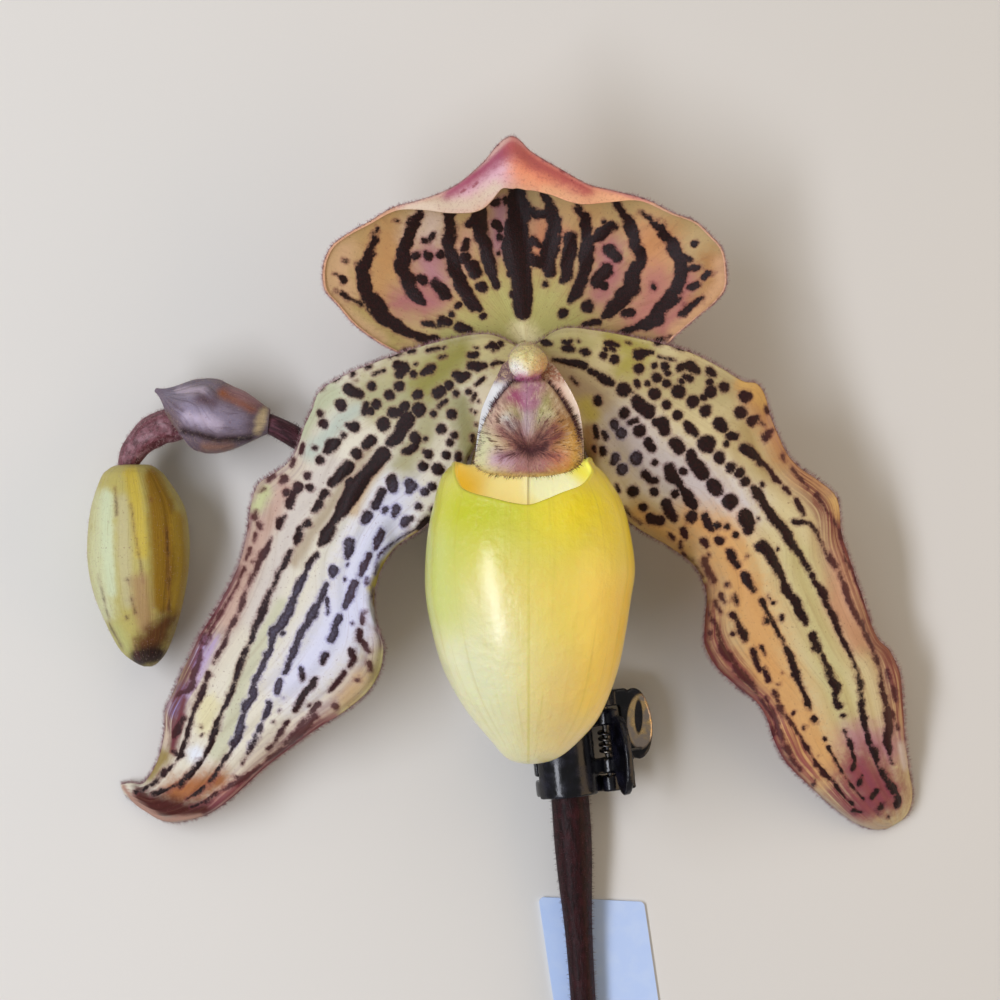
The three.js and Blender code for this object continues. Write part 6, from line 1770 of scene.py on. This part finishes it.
# %% Helpers for the clip
def dress(node, material):
    """Gives a CAD node a material."""
    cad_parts[node].data.materials.clear()
    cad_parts[node].data.materials.append(material)


def ellipse(node, where, middle, radii):
    """0 in the middle of an ellipse seen from above and 1 on it; places and radii in mm."""
    step = node("ShaderNodeVectorMath", {0: where, 1: [*middle[:2], 0]}, operation="SUBTRACT")
    step = node("ShaderNodeVectorMath", {0: step, 1: [1 / radii[0], 1 / radii[1], 0]},
                operation="MULTIPLY")
    return node("ShaderNodeVectorMath", {0: step}, operation="LENGTH").outputs["Value"]

# %% The clip's plastic
# Glossy black plastic, smudged by fingers; a bright bronze metallic dish on the rear tab is a
# painted reflection of warm light.
plastic, node, shader, where = start_material("clip_plastic", Roughness=0.2,
                                              Specular_IOR_Level=0.4)
smudge = node("noise", where, 0.5, 3)
black = node("mix", node("ramp", smudge, 0.4, 0.7), "#0B0B10", "#181824")
# Painted reflection: a bright bronze dish on the rear tab, with a dark slot in it.
dish = ellipse(node, where, place(641, 722, 6), (2.3, 4.6))
slot = ellipse(node, where, place(639, 717, 6), (0.62, 2.6))
painted_tab_reflection = node("MULTIPLY", node("ramp", dish, 0.86, 1.0, 1, 0), node("ramp", slot, 0.9, 1.2))
reflection_bronze = node("mix", node("ramp", node("noise", where, 0.5, 3), 0.4, 0.6), "#B4A69C", "#D8BC8C")
finish_material(node, shader, (node("noise", where, 3.0, 2), 0.02),
                Base_Color=node("mix", painted_tab_reflection, black, reflection_bronze),
                Metallic=node("MULTIPLY", painted_tab_reflection, 0.85),
                Roughness=node("ramp", smudge, 0.35, 0.7, 0.14, 0.3))

# %% The clip's halves
CUBE = 0.22  # mm, size of the cubes in which a half is skinned anew


def rounded(name, node, body, material):
    """A copy of a CAD solid with its edges rounded like a moulding's, in place of it."""
    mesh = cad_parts[node].data.copy()
    mesh.transform(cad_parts[node].matrix_world)
    mesh.materials.clear()
    mesh.materials.append(material)
    form = bmesh.new()
    form.from_mesh(mesh)
    bmesh.ops.remove_doubles(form, verts=form.verts, dist=1e-6)
    form.to_mesh(mesh)
    form.free()
    piece = bpy.data.objects.new(name, mesh)
    bpy.context.scene.collection.objects.link(piece)
    skin = piece.modifiers.new("skin", "REMESH")
    skin.mode, skin.voxel_size = "VOXEL", CUBE / 1000
    soften = piece.modifiers.new("soften", "SMOOTH")
    soften.factor, soften.iterations = 0.5, 10
    view = bpy.context.evaluated_depsgraph_get()
    piece.data = bpy.data.meshes.new_from_object(piece.evaluated_get(view))
    piece.modifiers.clear()
    piece.data.shade_smooth()
    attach(piece, body)
    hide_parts(node)
    print(f"{name}: {len(piece.data.polygons)} faces")


rounded("clip_back_half", "clip_rear_jaw", "orchid", plastic)
rounded("clip_front_half", "clip_front_jaw", "clip_jaw", plastic)

# %% The pin
# Dark drawn steel: sharp highlights with nearly black stretches between them.
steel, node, shader, where = start_material("clip_steel", Metallic=1.0, Roughness=0.3)
tone = node("ramp", node("noise", where, 2.0, 2), 0.35, 0.65)
finish_material(node, shader, (node("noise", where, 8.0, 2), 0.01),
                Base_Color=node("mix", tone, "#3A3A40", "#6A665F"))
dress("clip_pin", steel)

# %% [markdown]
# ## The spring
# A torsion spring is one wire: a leg along each tab and a coil round the pin between them. A
# rigid piece can't bend, so the wire is cut in the coil. The front leg and the coil's last part
# ride on the front half of the clip and slide along the coil as it opens, as a real coil winds.

# %% The spring
COIL_RADIUS, COIL_WIDTH, WIRE_RADIUS = 1.25, 3.6, 0.25  # mm
COIL_START, COIL_CUT, COIL_END = 67, 1366, 1426  # degrees round the pin
REAR_LEG, FRONT_LEG = [(-3, 5.4), (10, 2.4)], [(43, 2.4), (56, 5.4)]  # degrees, mm from the pin


def around_pin(degrees, reach):
    """Points at an angle round the pin and a distance from it, further along the coil with
    each turn."""
    degrees, turn = np.asarray(degrees, float), np.radians(degrees)
    along = (degrees - COIL_START) / (COIL_END - COIL_START) - 0.5
    return np.stack([reach * np.cos(turn), along * COIL_WIDTH, reach * np.sin(turn)], -1)


def wire(name, points, body, nodes=()):
    """A round wire through points of the clip's own frame, set on the pin."""
    c, s = math.cos(CLIP_TURN), math.sin(CLIP_TURN)
    x, y, z = np.array(points).T
    path = even(np.stack([c * x - s * y, s * x + c * y, z], -1) + pin, 4 * len(points))
    _, side, up = frames(path)
    turn = np.linspace(0, 2 * math.pi, 8, endpoint=False)[None, :, None]
    skin = path[:, None] + WIRE_RADIUS * (side[:, None] * np.cos(turn) + up[:, None] * np.sin(turn))
    make_piece(name, *tube(skin), steel, "clip_steel", nodes, body)


def leg(ends, y):
    """A leg's two ends from (degrees, mm from the pin), at y along the pin."""
    return [(reach * math.cos(math.radians(a)), y, reach * math.sin(math.radians(a)))
            for a, reach in ends]

# %% The spring's two parts
coil = around_pin(np.linspace(COIL_START, COIL_CUT, 44), COIL_RADIUS)
wire("spring_coil", [*leg(REAR_LEG, -COIL_WIDTH / 2), *coil], "orchid", ["clip_spring"])
last_part = around_pin(np.linspace(COIL_CUT, COIL_END, 3), COIL_RADIUS)
wire("spring_front_leg", [*last_part, *leg(FRONT_LEG, COIL_WIDTH / 2)], "clip_jaw")

# %% [markdown]
# ## The label
# A plant label is a strip cut from a sheet of stiff white plastic. Its CAD solid is already the
# right shape, so it only gets a material. It is left bare.

# %% The label
# Hard white plastic, painted pale blue for the cool light of the window, with a faint cloudiness
# and a dull gloss.
card, node, shader, where = start_material("label_plastic", Roughness=0.42)
grain = node("noise", where, 0.4, 4)
white_painted_blue = node("mix", node("ramp", grain, 0.4, 0.7), "#B9D0F8", "#BFD4F8")
finish_material(node, shader, (node("noise", where, 4.0, 3), 0.01), Base_Color=white_painted_blue)
dress("plant_label", card)
